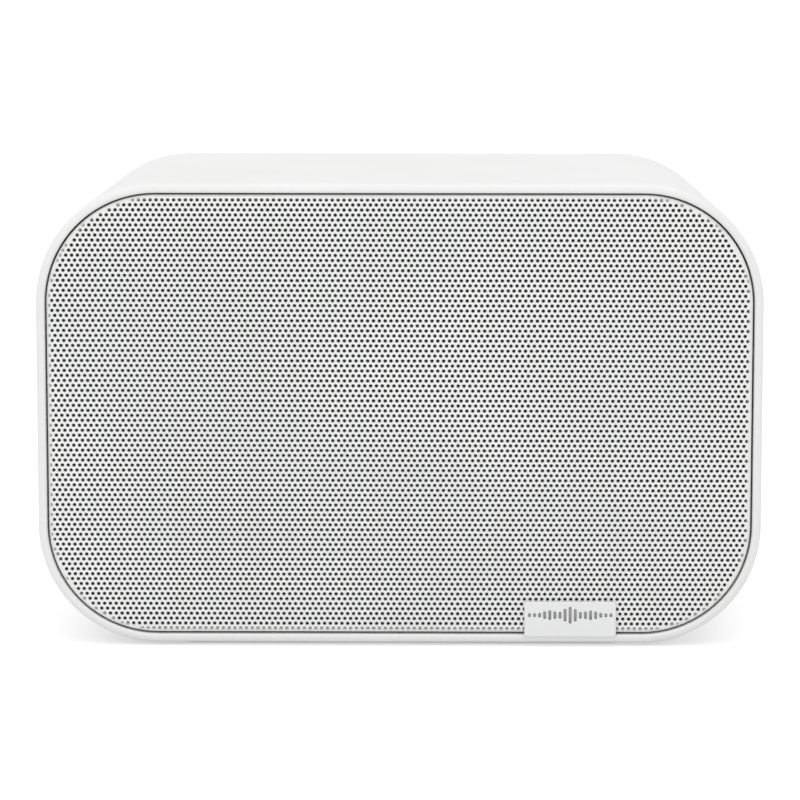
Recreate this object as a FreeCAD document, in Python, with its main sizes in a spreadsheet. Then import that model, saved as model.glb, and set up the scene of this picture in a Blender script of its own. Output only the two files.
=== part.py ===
"""Smart speaker: a white moulded cabinet with a perforated steel front, a woofer and two tweeters on
an inner baffle, and a rear panel that carries the bass port, the keys and the terminal bay.

Millimetres. +X is to the right seen from the front, +Y is towards the back, +Z is up. The origin is
on the surface the speaker stands on, below the middle of its overall box. Depths are given as a
distance behind the cabinet's front lip and turned into Y by at().
"""
import FreeCAD, Part
import math
import os
import Sketcher

V = FreeCAD.Vector

SIZES = {
    # cabinet
    "case_width": 248,
    "case_height": 158.8,
    "depth": 138,
    "corner_radius": 41,
    "side_taper": 6.8,
    "top_taper": 4.3,
    "corner_taper": 2,
    "wall": 3.1,
    "lip_round": 2.2,
    "lip_inner_round": 0.8,
    "rim_round": 3,
    "front_ledge": 17,
    "rear_ledge": 129,
    "ledge_thick": 3,
    "ledge_reach": 12,
    "boss_radius": 5,
    "boss_length": 10,
    "screw_inset": 7.5,
    "screw_span_x": 66,
    "screw_span_z": 26,
    # base pad
    "pad_proud": 1,
    "pad_sunk": 1.2,
    "pad_half_length": 79,
    "pad_half_width": 63.5,
    "pad_corner": 9,
    "floor_post_height": 5,
    # grille
    "grille_setback": 0.4,
    "grille_sheet": 0.8,
    "grille_flange": 7.2,
    "grille_inset": 3.8,
    "grille_roll": 1.1,
    "frame_rib": 0.7,
    "frame_shelf": 6.8,
    "shelf_start": 4,
    "shelf_thick": 3.4,
    "post_radius": 1.7,
    "post_length": 8,
    "post_inset": 8,
    "post_span": 30,
    "cloth_thick": 0.4,
    # name tag
    "tag_proud": 1.2,
    "tag_left": 42.9,
    "tag_width": 31.5,
    "tag_low": 3.5,
    "tag_height": 12.3,
    "tag_corner": 1.1,
    "tag_leg": 0.45,
    # baffle
    "baffle_back": 12,
    "baffle_thick": 4,
    "gasket_thick": 1,
    "fit_gap": 0.4,
    "woofer_z": 76,
    "tweeter_x": 84,
    "tweeter_z": 98,
    "mic_z": 143,
    "mic_post_x": 20,
    "mic_post_height": 2.4,
    # screws
    "screw_radius": 1.5,
    "screw_clear": 1.75,
    "screw_head": 2.9,
    "screw_head_height": 2,
    "small_screw_radius": 1.1,
    "small_screw_head": 2,
    # woofer, measured from the front of the baffle
    "woofer_radius": 52.8,
    "woofer_seat": 2.5,
    "basket_sheet": 1.2,
    "basket_mouth": 45.6,
    "basket_waist": 32.7,
    "spider_seat": 24.6,
    "motor_seat": 32,
    "woofer_screw_circle": 49.6,
    "surround_outer": 46.8,
    "surround_skin": 0.5,
    "cone_radius": 37.4,
    "cone_neck": 12.6,
    "cone_neck_back": 16.6,
    "cone_skin": 0.6,
    "cap_radius": 15.4,
    "cap_rise": 5.2,
    "cap_skin": 0.5,
    "crown_flat": 1,
    "former_inner": 12.4,
    "former_skin": 0.2,
    "coil_radius": 13.2,
    "pole_radius": 12.1,
    "gap_radius": 13.6,
    "top_plate_radius": 27.5,
    "top_plate_thick": 4,
    "magnet_radius": 30,
    "magnet_hole": 17,
    "magnet_thick": 11,
    "yoke_thick": 4.5,
    "cone_throw": 3.5,
    # tweeters, measured from the front of the baffle
    "tweeter_radius": 23,
    "tweeter_seat": 2,
    "tweeter_screw_circle": 19.8,
    "tweeter_skirt": 16.2,
    "dome_radius": 10,
    "dome_skin": 0.4,
    "dome_rise": 3.6,
    "cup_radius": 13.5,
    "cup_bore": 10.7,
    "pole_piece": 9.3,
    # rear panel
    "panel_thick": 3,
    "rear_screw_x": 62,
    "rear_screw_inset": 8,
    "bay_half_width": 74,
    "bay_low": 22,
    "bay_high": 64,
    "bay_deep": 11,
    "bay_wall": 2.5,
    "bay_corner": 7,
    "port_z": 116,
    "port_bore": 15,
    "port_tube": 17,
    "port_seat": 20,
    "port_flange": 25,
    "port_length": 55,
    "socket_z": 43,
    "inlet_x": -50,
    "usb_x": -8,
    "aux_x": 18,
    "jack_bore": 1.8,
    # keys
    "key_z": 84,
    "key_pitch": 22,
    "key_radius": 5,
    "key_flange": 6.3,
    "key_travel": 0.8,
    "key_board_back": 125,
    "board_thick": 1.6,
    "slider_x": 62,
    "slider_travel": 2.5,
    # boards
    "main_board_back": 107,
    "power_board_front": 44,
    "power_board_rear": 88,
    "lead_radius": 0.8,
    "mains_lead_radius": 1.2,
}

doc = FreeCAD.newDocument("smart_speaker")
dim = doc.addObject("Spreadsheet::Sheet", "dim")
for row, (alias, size) in enumerate(SIZES.items(), 1):
    dim.set(f"A{row}", alias)
    dim.set(f"B{row}", str(size))
    dim.setAlias(f"B{row}", alias)
doc.recompute()

# Each finished sub-part is kept here under its node name.
nodes = {}


# ---------------------------------------------------------------- expressions
def number(text):
    """The value of an expression, used to draw a sketch near its bound shape."""
    return float(dim.evalExpression(text))


def at(back):
    """Y of a plane that lies a distance behind the front lip."""
    return f"((dim.tag_proud - dim.depth) / 2 + ({back}))"


def half_width(back, inset):
    return f"(dim.case_width / 2 - dim.side_taper * ({back}) / dim.depth - ({inset}))"


def top(back, inset):
    return f"(dim.pad_proud + dim.case_height - dim.top_taper * ({back}) / dim.depth - ({inset}))"


def bottom(inset):
    return f"(dim.pad_proud + ({inset}))"


def corner(back, inset):
    return f"(dim.corner_radius - dim.corner_taper * ({back}) / dim.depth - ({inset}))"


# ---------------------------------------------------------------- sketches
AXIS_SIGN = {"XY": 1, "XZ": -1, "YZ": 1}


def sketch_on(body, plane, level):
    """An empty sketch on one of the body's origin planes, moved to a level along +Z, +Y or +X."""
    sketch = body.newObject("Sketcher::SketchObject", "sketch")
    origin = next(f for f in body.Origin.OriginFeatures if f.Role == plane + "_Plane")
    sketch.AttachmentSupport = [(origin, "")]
    sketch.MapMode = "FlatFace"
    sketch.setExpression(".AttachmentOffset.Base.z", level if AXIS_SIGN[plane] > 0 else f"-({level})")
    return sketch


def bind(sketch, constraint, text):
    index = sketch.addConstraint(constraint)
    sketch.setExpression(f"Constraints[{index}]", text)


def hold(sketch, geometry, vertex, x, y):
    """Ties a point of a sketch to two expressions."""
    bind(sketch, Sketcher.Constraint("DistanceX", -1, 1, geometry, vertex, number(x)), x)
    bind(sketch, Sketcher.Constraint("DistanceY", -1, 1, geometry, vertex, number(y)), y)


def disc(x, y, radius):
    def draw(sketch):
        circle = Part.Circle(V(number(x), number(y), 0), V(0, 0, 1), number(radius))
        geometry = sketch.addGeometry(circle, False)
        hold(sketch, geometry, 3, x, y)
        bind(sketch, Sketcher.Constraint("Radius", geometry, number(radius)), radius)

    return draw


def outline(points):
    """A closed loop of edges through points. A point is (x, y), or (x, y, radius, through) where the
    edge after it is an arc of that radius, drawn through the point that the last pair gives."""

    def draw(sketch):
        seeds = [V(number(p[0]), number(p[1]), 0) for p in points]
        edges = []
        for i, p in enumerate(points):
            start, end = seeds[i], seeds[(i + 1) % len(points)]
            if len(p) == 2:
                edge = Part.LineSegment(start, end)
            else:
                edge = Part.Arc(start, V(number(p[3][0]), number(p[3][1]), 0), end)
            geometry = sketch.addGeometry(edge, False)
            first = 1 if (sketch.getPoint(geometry, 1) - start).Length < 1e-6 else 2
            edges.append((geometry, first, 3 - first))
        for i, p in enumerate(points):
            geometry, first, _ = edges[i]
            before, _, last = edges[i - 1]
            sketch.addConstraint(Sketcher.Constraint("Coincident", before, last, geometry, first))
            hold(sketch, geometry, first, p[0], p[1])
            if len(p) > 2:
                bind(sketch, Sketcher.Constraint("Radius", geometry, number(p[2])), p[2])

    return draw


def rounded(left, right, low, high, radius):
    """A rectangle with four equal round corners."""

    def draw(sketch):
        x0, x1, y0, y1, r = (number(t) for t in (left, right, low, high, radius))
        places = []

        def line(xa, ya, xb, yb):
            places.append(sketch.addGeometry(Part.LineSegment(V(xa, ya, 0), V(xb, yb, 0)), False))

        def arc(x, y, turn):
            circle = Part.Circle(V(x, y, 0), V(0, 0, 1), r)
            quarter = Part.ArcOfCircle(circle, math.radians(turn), math.radians(turn + 90))
            places.append(sketch.addGeometry(quarter, False))

        line(x0 + r, y0, x1 - r, y0)
        arc(x1 - r, y0 + r, 270)
        line(x1, y0 + r, x1, y1 - r)
        arc(x1 - r, y1 - r, 0)
        line(x1 - r, y1, x0 + r, y1)
        arc(x0 + r, y1 - r, 90)
        line(x0, y1 - r, x0, y0 + r)
        arc(x0 + r, y0 + r, 180)
        for i, geometry in enumerate(places):
            following = places[(i + 1) % len(places)]
            sketch.addConstraint(Sketcher.Constraint("Tangent", geometry, 2, following, 1))
        low_line, first_arc, right_line, _, high_line, _, left_line, _ = places
        for geometry in (low_line, high_line):
            sketch.addConstraint(Sketcher.Constraint("Horizontal", geometry))
        for geometry in (left_line, right_line):
            sketch.addConstraint(Sketcher.Constraint("Vertical", geometry))
        for other in places[3::2]:
            sketch.addConstraint(Sketcher.Constraint("Equal", first_arc, other))
        bind(sketch, Sketcher.Constraint("Radius", first_arc, r), radius)
        bind(sketch, Sketcher.Constraint("DistanceX", -1, 1, left_line, 1, x0), left)
        bind(sketch, Sketcher.Constraint("DistanceX", -1, 1, right_line, 1, x1), right)
        bind(sketch, Sketcher.Constraint("DistanceY", -1, 1, low_line, 1, y0), low)
        bind(sketch, Sketcher.Constraint("DistanceY", -1, 1, high_line, 1, y1), high)

    return draw


def section(back, inset):
    """The cabinet's outline at a distance behind the lip, moved inwards by inset."""
    side = half_width(back, inset)
    return rounded(f"-{side}", side, bottom(inset), top(back, inset), corner(back, inset))


# ---------------------------------------------------------------- features
def new_body(label, x="0", y="0", z="0"):
    body = doc.addObject("PartDesign::Body", label)
    body.Label = label
    for axis, text in zip("xyz", (x, y, z)):
        body.setExpression(f".Placement.Base.{axis}", text)
    return body


def draw_on(body, plane, level, loops):
    sketch = sketch_on(body, plane, level)
    for loop in loops:
        loop(sketch)
    return sketch


def pad(body, plane, start, length, *loops):
    """Material from start towards +Z, +Y or +X; later loops inside the first are holes."""
    feature = body.newObject("PartDesign::Pad", "pad")
    feature.Profile = draw_on(body, plane, start, loops)
    feature.setExpression("Length", length)
    feature.Reversed = AXIS_SIGN[plane] < 0
    doc.recompute()
    return feature


def pocket(body, plane, start, length, *loops):
    """A cut from start towards +Z, +Y or +X. It stops the build if it takes nothing away."""
    before = body.Shape.Volume
    feature = body.newObject("PartDesign::Pocket", "pocket")
    feature.Profile = draw_on(body, plane, start, loops)
    feature.setExpression("Length", length)
    feature.Reversed = AXIS_SIGN[plane] > 0
    doc.recompute()
    if body.Shape.Volume > before - 1e-3:
        raise RuntimeError(f"a pocket in {body.Label} cuts nothing")
    return feature


def loft(body, kind, first, last):
    """A straight loft between two (level, loop) sections on the XZ plane."""
    profile = draw_on(body, "XZ", first[0], [first[1]])
    end = draw_on(body, "XZ", last[0], [last[1]])
    feature = body.newObject(kind, "loft")
    feature.Profile = profile
    feature.Sections = [(end, [""])]
    feature.Ruled = True
    doc.recompute()
    return feature


def turned(body, *points):
    """A ring turned about the body's own Y axis from a profile of (radius, depth) points."""
    sketch = draw_on(body, "XY", "0", [outline(points)])
    feature = body.newObject("PartDesign::Revolution", "turned")
    feature.Profile = sketch
    feature.ReferenceAxis = (sketch, ["V_Axis"])
    feature.Angle = 360
    doc.recompute()
    return feature


def fillet(body, radius, wanted):
    """Rounds the edges that wanted() picks."""
    base = body.Tip
    names = [f"Edge{i}" for i, edge in enumerate(base.Shape.Edges, 1) if wanted(edge)]
    feature = body.newObject("PartDesign::Fillet", "fillet")
    feature.Base = (base, names)
    feature.setExpression("Radius", radius)
    doc.recompute()
    return feature


def in_plane(edge, axis, level):
    box = edge.BoundBox
    low, high = getattr(box, axis + "Min"), getattr(box, axis + "Max")
    return abs(low - level) < 1e-3 and abs(high - level) < 1e-3


def keep(label, feature):
    feature.Label = label
    nodes[label] = feature
    return feature


def block(label, x, y, z, length, width, height):
    """A Part box from its lowest corner and its three sizes."""
    box = doc.addObject("Part::Box", label)
    for name, text in zip(("Length", "Width", "Height"), (length, width, height)):
        box.setExpression(name, text)
    for axis, text in zip("xyz", (x, y, z)):
        box.setExpression(f".Placement.Base.{axis}", text)
    return box


def rod(label, x, y, z, radius, length):
    """A Part cylinder whose axis runs towards +Y."""
    cylinder = doc.addObject("Part::Cylinder", label)
    cylinder.setExpression("Radius", radius)
    cylinder.setExpression("Height", length)
    cylinder.Placement.Rotation = FreeCAD.Rotation(V(1, 0, 0), -90)
    for axis, text in zip("xyz", (x, y, z)):
        cylinder.setExpression(f".Placement.Base.{axis}", text)
    return cylinder


def group(label, parts):
    """Several separate solids that share one node."""
    compound = doc.addObject("Part::Compound", label)
    compound.Links = parts
    return keep(label, compound)


def cut(label, base, tools):
    joined = tools[0]
    if len(tools) > 1:
        joined = doc.addObject("Part::MultiFuse", label + "_tool")
        joined.Shapes = tools
    result = doc.addObject("Part::Cut", label)
    result.Base = base
    result.Tool = joined
    return result


def repeated(label, master, places, turn=None):
    """Copies of one body at several (x, y, z), as one node."""
    copies = []
    for x, y, z in places:
        copy = doc.addObject("App::Link", label + "_copy")
        copy.LinkedObject = master
        if turn is not None:
            copy.Placement.Rotation = turn
        for axis, text in zip("xyz", (x, y, z)):
            copy.setExpression(f".Placement.Base.{axis}", text)
        copies.append(copy)
    return group(label, copies)


# ---------------------------------------------------------------- shared places
SIDES = ("", "-")
front_screw_places = [
    (f"{s}dim.screw_span_x", z) for s in SIDES for z in (bottom("dim.screw_inset"), top("0", "dim.screw_inset"))
] + [
    (f"{s}{half_width('0', 'dim.screw_inset')}", f"(dim.case_height / 2 + dim.pad_proud {t} dim.screw_span_z)")
    for s in SIDES
    for t in "+-"
]
rear_screw_places = [
    (f"{s}dim.rear_screw_x", z)
    for s in SIDES
    for z in (bottom("dim.rear_screw_inset"), top("dim.depth", "dim.rear_screw_inset"))
] + [
    (f"{s}{half_width('dim.depth', 'dim.rear_screw_inset')}", f"(dim.case_height / 2 {t} dim.screw_span_z)")
    for s in SIDES
    for t in "+-"
]
post_places = [
    (f"{s}dim.post_span", z) for s in SIDES for z in (bottom("dim.post_inset"), top("0", "dim.post_inset"))
] + [(f"{s}{half_width('0', 'dim.post_inset')}", "(dim.case_height / 2 + dim.pad_proud)") for s in SIDES]
floor_posts = [(x, back) for x in (-56, 44) for back in ("dim.power_board_front + 4", "dim.power_board_rear - 4")]
board_posts = [(x, z) for x in (-30, 60) for z in (27, 60)]
key_names = ("power_key", "source_key", "volume_down_key", "volume_up_key")
key_places = [f"{k} * dim.key_pitch" for k in (-1.5, -0.5, 0.5, 1.5)]
key_board_posts = (-48, 73)


def ring_of(centre_x, centre_z, circle, turns):
    """Places on a circle in the front view, as expressions."""
    return [
        (f"({centre_x} + {circle} * cos({turn} deg))", f"({centre_z} + {circle} * sin({turn} deg))")
        for turn in turns
    ]


QUARTERS = (45, 135, 225, 315)
woofer_screw_places = ring_of("0", "dim.woofer_z", "dim.woofer_screw_circle", QUARTERS)
tweeter_screw_places = [
    place
    for s in SIDES
    for place in ring_of(f"({s}dim.tweeter_x)", "dim.tweeter_z", "dim.tweeter_screw_circle", QUARTERS)
]


# ---------------------------------------------------------------- enclosure
def cabinet_shell():
    """One moulding: a tapering sleeve with an inner ledge for the baffle and one for the rear panel."""
    body = new_body("cabinet_shell")
    loft(body, "PartDesign::AdditiveLoft", (at("0"), section("0", "0")), (at("dim.depth"), section("dim.depth", "0")))
    loft(
        body,
        "PartDesign::SubtractiveLoft",
        (at("0"), section("0", "dim.wall")),
        (at("dim.rear_ledge"), section("dim.rear_ledge", "dim.wall")),
    )
    pad(
        body,
        "XZ",
        at("dim.front_ledge"),
        "dim.ledge_thick",
        section("dim.front_ledge", "dim.wall / 2"),
        section("dim.front_ledge", "dim.ledge_reach"),
    )
    behind_ledge = "dim.front_ledge + dim.ledge_thick"
    pad(body, "XZ", at(behind_ledge), "dim.boss_length", *[disc(x, z, "dim.boss_radius") for x, z in front_screw_places])
    pocket(
        body,
        "XZ",
        at("dim.front_ledge"),
        "dim.ledge_thick + dim.boss_length - 1",
        *[disc(x, z, "dim.screw_radius") for x, z in front_screw_places],
    )
    pocket(body, "XZ", at("dim.rear_ledge"), "dim.depth - dim.rear_ledge", section("dim.depth", "dim.ledge_reach + 1"))
    pocket(
        body,
        "XZ",
        at("dim.rear_ledge + dim.ledge_thick"),
        "dim.depth - dim.rear_ledge - dim.ledge_thick",
        section("dim.depth", "dim.wall"),
    )
    rear_bosses = [disc(x, z, "dim.boss_radius - 0.4") for x, z in rear_screw_places]
    pad(body, "XZ", at("dim.rear_ledge - dim.boss_length"), "dim.boss_length", *rear_bosses)
    pocket(
        body,
        "XZ",
        at("dim.rear_ledge - dim.boss_length + 1"),
        "dim.ledge_thick + dim.boss_length - 1",
        *[disc(x, z, "dim.screw_radius") for x, z in rear_screw_places],
    )
    pocket(body, "XY", "dim.pad_proud", "dim.pad_sunk", pad_outline("0"))
    posts = [disc(str(x), at(back), "dim.boss_radius - 1.5") for x, back in floor_posts]
    pad(body, "XY", bottom("dim.wall - 0.5"), "dim.floor_post_height + 0.5", *posts)
    holes = [disc(str(x), at(back), "dim.small_screw_radius") for x, back in floor_posts]
    pocket(body, "XY", bottom("dim.wall"), "dim.floor_post_height", *holes)
    lip, rim = number(at("0")), number(at("dim.depth"))
    mouth = number(half_width("0", "dim.wall / 2")), number(top("0", "dim.wall / 2")), number(bottom("dim.wall / 2"))
    tail = (
        number(half_width("dim.depth", "dim.wall / 2")),
        number(top("dim.depth", "dim.wall / 2")),
        number(bottom("dim.wall / 2")),
    )

    def outside(edge, limit):
        box = edge.BoundBox
        return box.XMax > limit[0] or box.XMin < -limit[0] or box.ZMax > limit[1] or box.ZMin < limit[2]

    fillet(body, "dim.lip_round", lambda edge: in_plane(edge, "Y", lip) and outside(edge, mouth))
    fillet(body, "dim.lip_inner_round", lambda edge: in_plane(edge, "Y", lip) and not outside(edge, mouth))
    fillet(body, "dim.rim_round", lambda edge: in_plane(edge, "Y", rim) and outside(edge, tail))
    keep("cabinet_shell", body)


def pad_outline(gap):
    long, short = f"(dim.pad_half_length - {gap})", f"(dim.pad_half_width - {gap})"
    return rounded(f"-{long}", long, f"-{short}", short, f"dim.pad_corner - {gap}")


def base_pad():
    """The rubber foot, one long pad let into the cabinet's underside."""
    body = new_body("base_pad")
    pad(body, "XY", "0", "dim.pad_proud + dim.pad_sunk", pad_outline("0.15"))
    fillet(body, "0.5", lambda edge: in_plane(edge, "Z", 0))
    keep("base_pad", body)


def front_baffle():
    """The black inner panel that the drivers are screwed to."""
    body = new_body("front_baffle")
    front, seat_back = at("dim.baffle_back"), "dim.baffle_back + dim.baffle_thick"
    pad(body, "XZ", front, "dim.baffle_thick", section("dim.front_ledge", "dim.wall + dim.fit_gap"))
    woofer_pads = [disc(x, z, "dim.screw_radius + 1.7") for x, z in woofer_screw_places]
    pad(body, "XZ", at(seat_back), "5", *woofer_pads)
    tweeter_pads = [disc(x, z, "dim.small_screw_radius + 1.5") for x, z in tweeter_screw_places]
    pad(body, "XZ", at(seat_back), "4", *tweeter_pads)
    mic_posts = [disc(f"{s}dim.mic_post_x", "dim.mic_z", "2.6") for s in SIDES]
    pad(body, "XZ", at("dim.baffle_back - dim.mic_post_height"), "dim.mic_post_height", *mic_posts)
    pocket(body, "XZ", front, "dim.woofer_seat", disc("0", "dim.woofer_z", "dim.woofer_radius + 0.4"))
    pocket(body, "XZ", front, "dim.baffle_thick", disc("0", "dim.woofer_z", "dim.basket_mouth + 1.7"))
    tweeters = [(f"{s}dim.tweeter_x", "dim.tweeter_z") for s in SIDES]
    pocket(body, "XZ", front, "dim.tweeter_seat", *[disc(x, z, "dim.tweeter_radius + 0.3") for x, z in tweeters])
    pocket(body, "XZ", front, "dim.baffle_thick", *[disc(x, z, "dim.tweeter_skirt + 0.7") for x, z in tweeters])
    pocket(body, "XZ", front, "dim.baffle_thick + 4", *[disc(x, z, "dim.screw_radius") for x, z in woofer_screw_places])
    small = [disc(x, z, "dim.small_screw_radius") for x, z in tweeter_screw_places]
    pocket(body, "XZ", front, "dim.baffle_thick + 3", *small)
    mic_holes = [disc(f"{s}dim.mic_post_x", "dim.mic_z", "dim.small_screw_radius") for s in SIDES]
    pocket(body, "XZ", at("dim.baffle_back - dim.mic_post_height"), "5", *mic_holes)
    pocket(body, "XZ", front, "dim.baffle_thick", *[disc(x, z, "dim.screw_clear") for x, z in front_screw_places])
    pocket(body, "XZ", front, "dim.baffle_thick", *[disc(x, z, "dim.post_radius + 1.3") for x, z in post_places])
    cable_slot = rounded("-6", "6", "132", "135", "1.4")
    pocket(body, "XZ", front, "dim.baffle_thick", cable_slot)
    keep("front_baffle", body)


def ring_gasket(label, back, outer, inner, places):
    """A flat foam ring with a hole for each screw."""
    body = new_body(label)
    pad(body, "XZ", at(back), "dim.gasket_thick", outer, inner)
    pocket(body, "XZ", at(back), "dim.gasket_thick", *[disc(x, z, "dim.screw_clear + 0.2") for x, z in places])
    keep(label, body)


def gaskets():
    ring_gasket(
        "baffle_gasket",
        "dim.front_ledge - dim.gasket_thick",
        section("dim.front_ledge", "dim.wall + dim.fit_gap"),
        section("dim.front_ledge", "dim.ledge_reach + 0.5"),
        front_screw_places,
    )
    ring_gasket(
        "rear_gasket",
        "dim.rear_ledge + dim.ledge_thick",
        section("dim.depth", "dim.wall + dim.fit_gap"),
        section("dim.depth", "dim.ledge_reach + 1.5"),
        rear_screw_places,
    )


# ---------------------------------------------------------------- fasteners
def screw_master(label, head_radius, head_height, shank_radius, length):
    """A pan-head screw along +Y with its head's underside at the origin and a cross recess."""
    body = new_body(label)
    turned(
        body,
        ("0", f"-({head_height})"),
        (f"{head_radius} * 0.72", f"-({head_height})"),
        (head_radius, f"-({head_height}) * 0.45"),
        (head_radius, "0"),
        (shank_radius, "0"),
        (shank_radius, f"{length} - {shank_radius} * 0.7"),
        (f"{shank_radius} * 0.4", length),
        ("0", length),
    )
    arm, width = f"({head_radius} * 0.55)", f"({head_radius} * 0.13)"
    cross = [
        (f"-{width}", f"-{arm}"), (width, f"-{arm}"), (width, f"-{width}"), (arm, f"-{width}"),
        (arm, width), (width, width), (width, arm), (f"-{width}", arm),
        (f"-{width}", width), (f"-{arm}", width), (f"-{arm}", f"-{width}"), (f"-{width}", f"-{width}"),
    ]  # fmt: skip
    pocket(body, "XZ", f"-({head_height})", f"{head_height} * 0.6", outline(cross))
    return body


def fasteners():
    screw = screw_master(
        "case_screw_pattern", "dim.screw_head", "dim.screw_head_height", "dim.screw_radius", "12"
    )
    driver_screw = screw_master(
        "driver_screw_pattern", "dim.screw_head", "dim.screw_head_height", "dim.screw_radius", "8"
    )
    small = screw_master("small_screw_pattern", "dim.small_screw_head", "1.4", "dim.small_screw_radius", "5.5")
    around = FreeCAD.Rotation(V(0, 0, 1), 180)
    repeated("baffle_screws", screw, [(x, at("dim.baffle_back"), z) for x, z in front_screw_places])
    seat = at("dim.depth - dim.panel_thick - 0.2")
    repeated("rear_screws", screw, [(x, seat, z) for x, z in rear_screw_places], around)
    repeated("woofer_screws", driver_screw, [(x, at("dim.baffle_back - 0.5"), z) for x, z in woofer_screw_places])
    mic_face = at("dim.baffle_back - dim.mic_post_height - dim.board_thick")
    down = FreeCAD.Rotation(V(1, 0, 0), -90)
    places = [(x, at("dim.baffle_back"), z, None) for x, z in tweeter_screw_places]
    places += [(f"{s}dim.mic_post_x", mic_face, "dim.mic_z", None) for s in SIDES]
    places += [(str(x), at("dim.main_board_back"), str(z), None) for x, z in board_posts]
    places += [(str(x), at("dim.key_board_back"), "dim.key_z", None) for x in key_board_posts]
    board_top = bottom("dim.wall + dim.floor_post_height + dim.board_thick")
    places += [(str(x), at(back), board_top, down) for x, back in floor_posts]
    copies = []
    for x, y, z, turn in places:
        copy = doc.addObject("App::Link", "small_screw_copy")
        copy.LinkedObject = small
        if turn is not None:
            copy.Placement.Rotation = turn
        for axis, text in zip("xyz", (x, y, z)):
            copy.setExpression(f".Placement.Base.{axis}", text)
        copies.append(copy)
    group("small_screws", copies)


# ---------------------------------------------------------------- front grille
def grille_sheet():
    """The steel front, a shallow pan pressed from perforated sheet."""
    body = new_body("grille_sheet")
    pad(body, "XZ", at("dim.grille_setback"), "dim.grille_flange", section("0", "dim.grille_inset"))
    inside = section("0", "dim.grille_inset + dim.grille_sheet")
    pocket(body, "XZ", at("dim.grille_setback + dim.grille_sheet"), "dim.grille_flange", inside)
    front = number(at("dim.grille_setback"))
    fillet(body, "dim.grille_roll", lambda edge: in_plane(edge, "Y", front))
    keep("grille_sheet", body)


def grille_frame():
    """The white ring glued inside the pan, with six posts that push into the baffle."""
    body = new_body("grille_frame")
    outer = section("0", "dim.grille_inset + dim.grille_sheet")
    rib_back = "dim.grille_setback + dim.grille_sheet"
    rib = section("0", "dim.grille_inset + dim.grille_sheet + dim.frame_rib")
    pad(body, "XZ", at(rib_back), f"dim.shelf_start - ({rib_back})", outer, rib)
    shelf = section("0", "dim.grille_inset + dim.grille_sheet + dim.frame_shelf")
    pad(body, "XZ", at("dim.shelf_start"), "dim.shelf_thick", outer, shelf)
    posts = [disc(x, z, "dim.post_radius") for x, z in post_places]
    pad(body, "XZ", at("dim.shelf_start + dim.shelf_thick"), "dim.post_length", *posts)
    keep("grille_frame", body)


def acoustic_cloth():
    """Black open-weave cloth laid against the back of the perforated sheet."""
    body = new_body("acoustic_cloth")
    inside = section("0", "dim.grille_inset + dim.grille_sheet + dim.frame_rib + 0.1")
    pad(body, "XZ", at("dim.grille_setback + dim.grille_sheet"), "dim.cloth_thick", inside)
    keep("acoustic_cloth", body)


def grille_grommets():
    """Rubber sleeves in the baffle that grip the posts of the grille frame."""
    master = new_body("grommet_pattern")
    bore, sleeve = "dim.post_radius", "dim.post_radius + 1.3"
    turned(
        master,
        (bore, "-1"),
        (f"{sleeve} + 1.2", "-1"),
        (f"{sleeve} + 1.2", "0"),
        (sleeve, "0"),
        (sleeve, "dim.baffle_thick"),
        (bore, "dim.baffle_thick"),
    )
    repeated("grille_grommets", master, [(x, at("dim.baffle_back"), z) for x, z in post_places])


def name_tag():
    """A blank moulded tag that covers the lower edge of the grille and hooks into the gap behind it."""
    body = new_body("name_tag")
    right, high = "dim.tag_left + dim.tag_width", "dim.tag_low + dim.tag_height"
    plate = rounded("dim.tag_left", right, "dim.tag_low", high, "dim.tag_corner")
    pad(body, "XZ", at("-dim.tag_proud"), "dim.tag_proud - 0.05", plate)
    sheet_edge = bottom("dim.grille_inset + 1.3")
    seat = rounded("dim.tag_left + 0.6", f"{right} - 0.6", sheet_edge, f"{high} - 0.6", "dim.tag_corner")
    pad(body, "XZ", at("-0.05"), "dim.grille_setback + 0.05", seat)
    leg_low = bottom("dim.wall + 0.1")
    leg = [
        ("dim.tag_left + 2", leg_low),
        (f"{right} - 2", leg_low),
        (f"{right} - 2", f"{leg_low} + dim.tag_leg"),
        ("dim.tag_left + 2", f"{leg_low} + dim.tag_leg"),
    ]
    pad(body, "XZ", at("-0.05"), "7", outline(leg))
    front = number(at("-dim.tag_proud"))
    fillet(body, "0.5", lambda edge: in_plane(edge, "Y", front))
    keep("name_tag", body)


# ---------------------------------------------------------------- woofer
def woofer_body(label):
    return new_body(label, "0", at("dim.baffle_back"), "dim.woofer_z")


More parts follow.
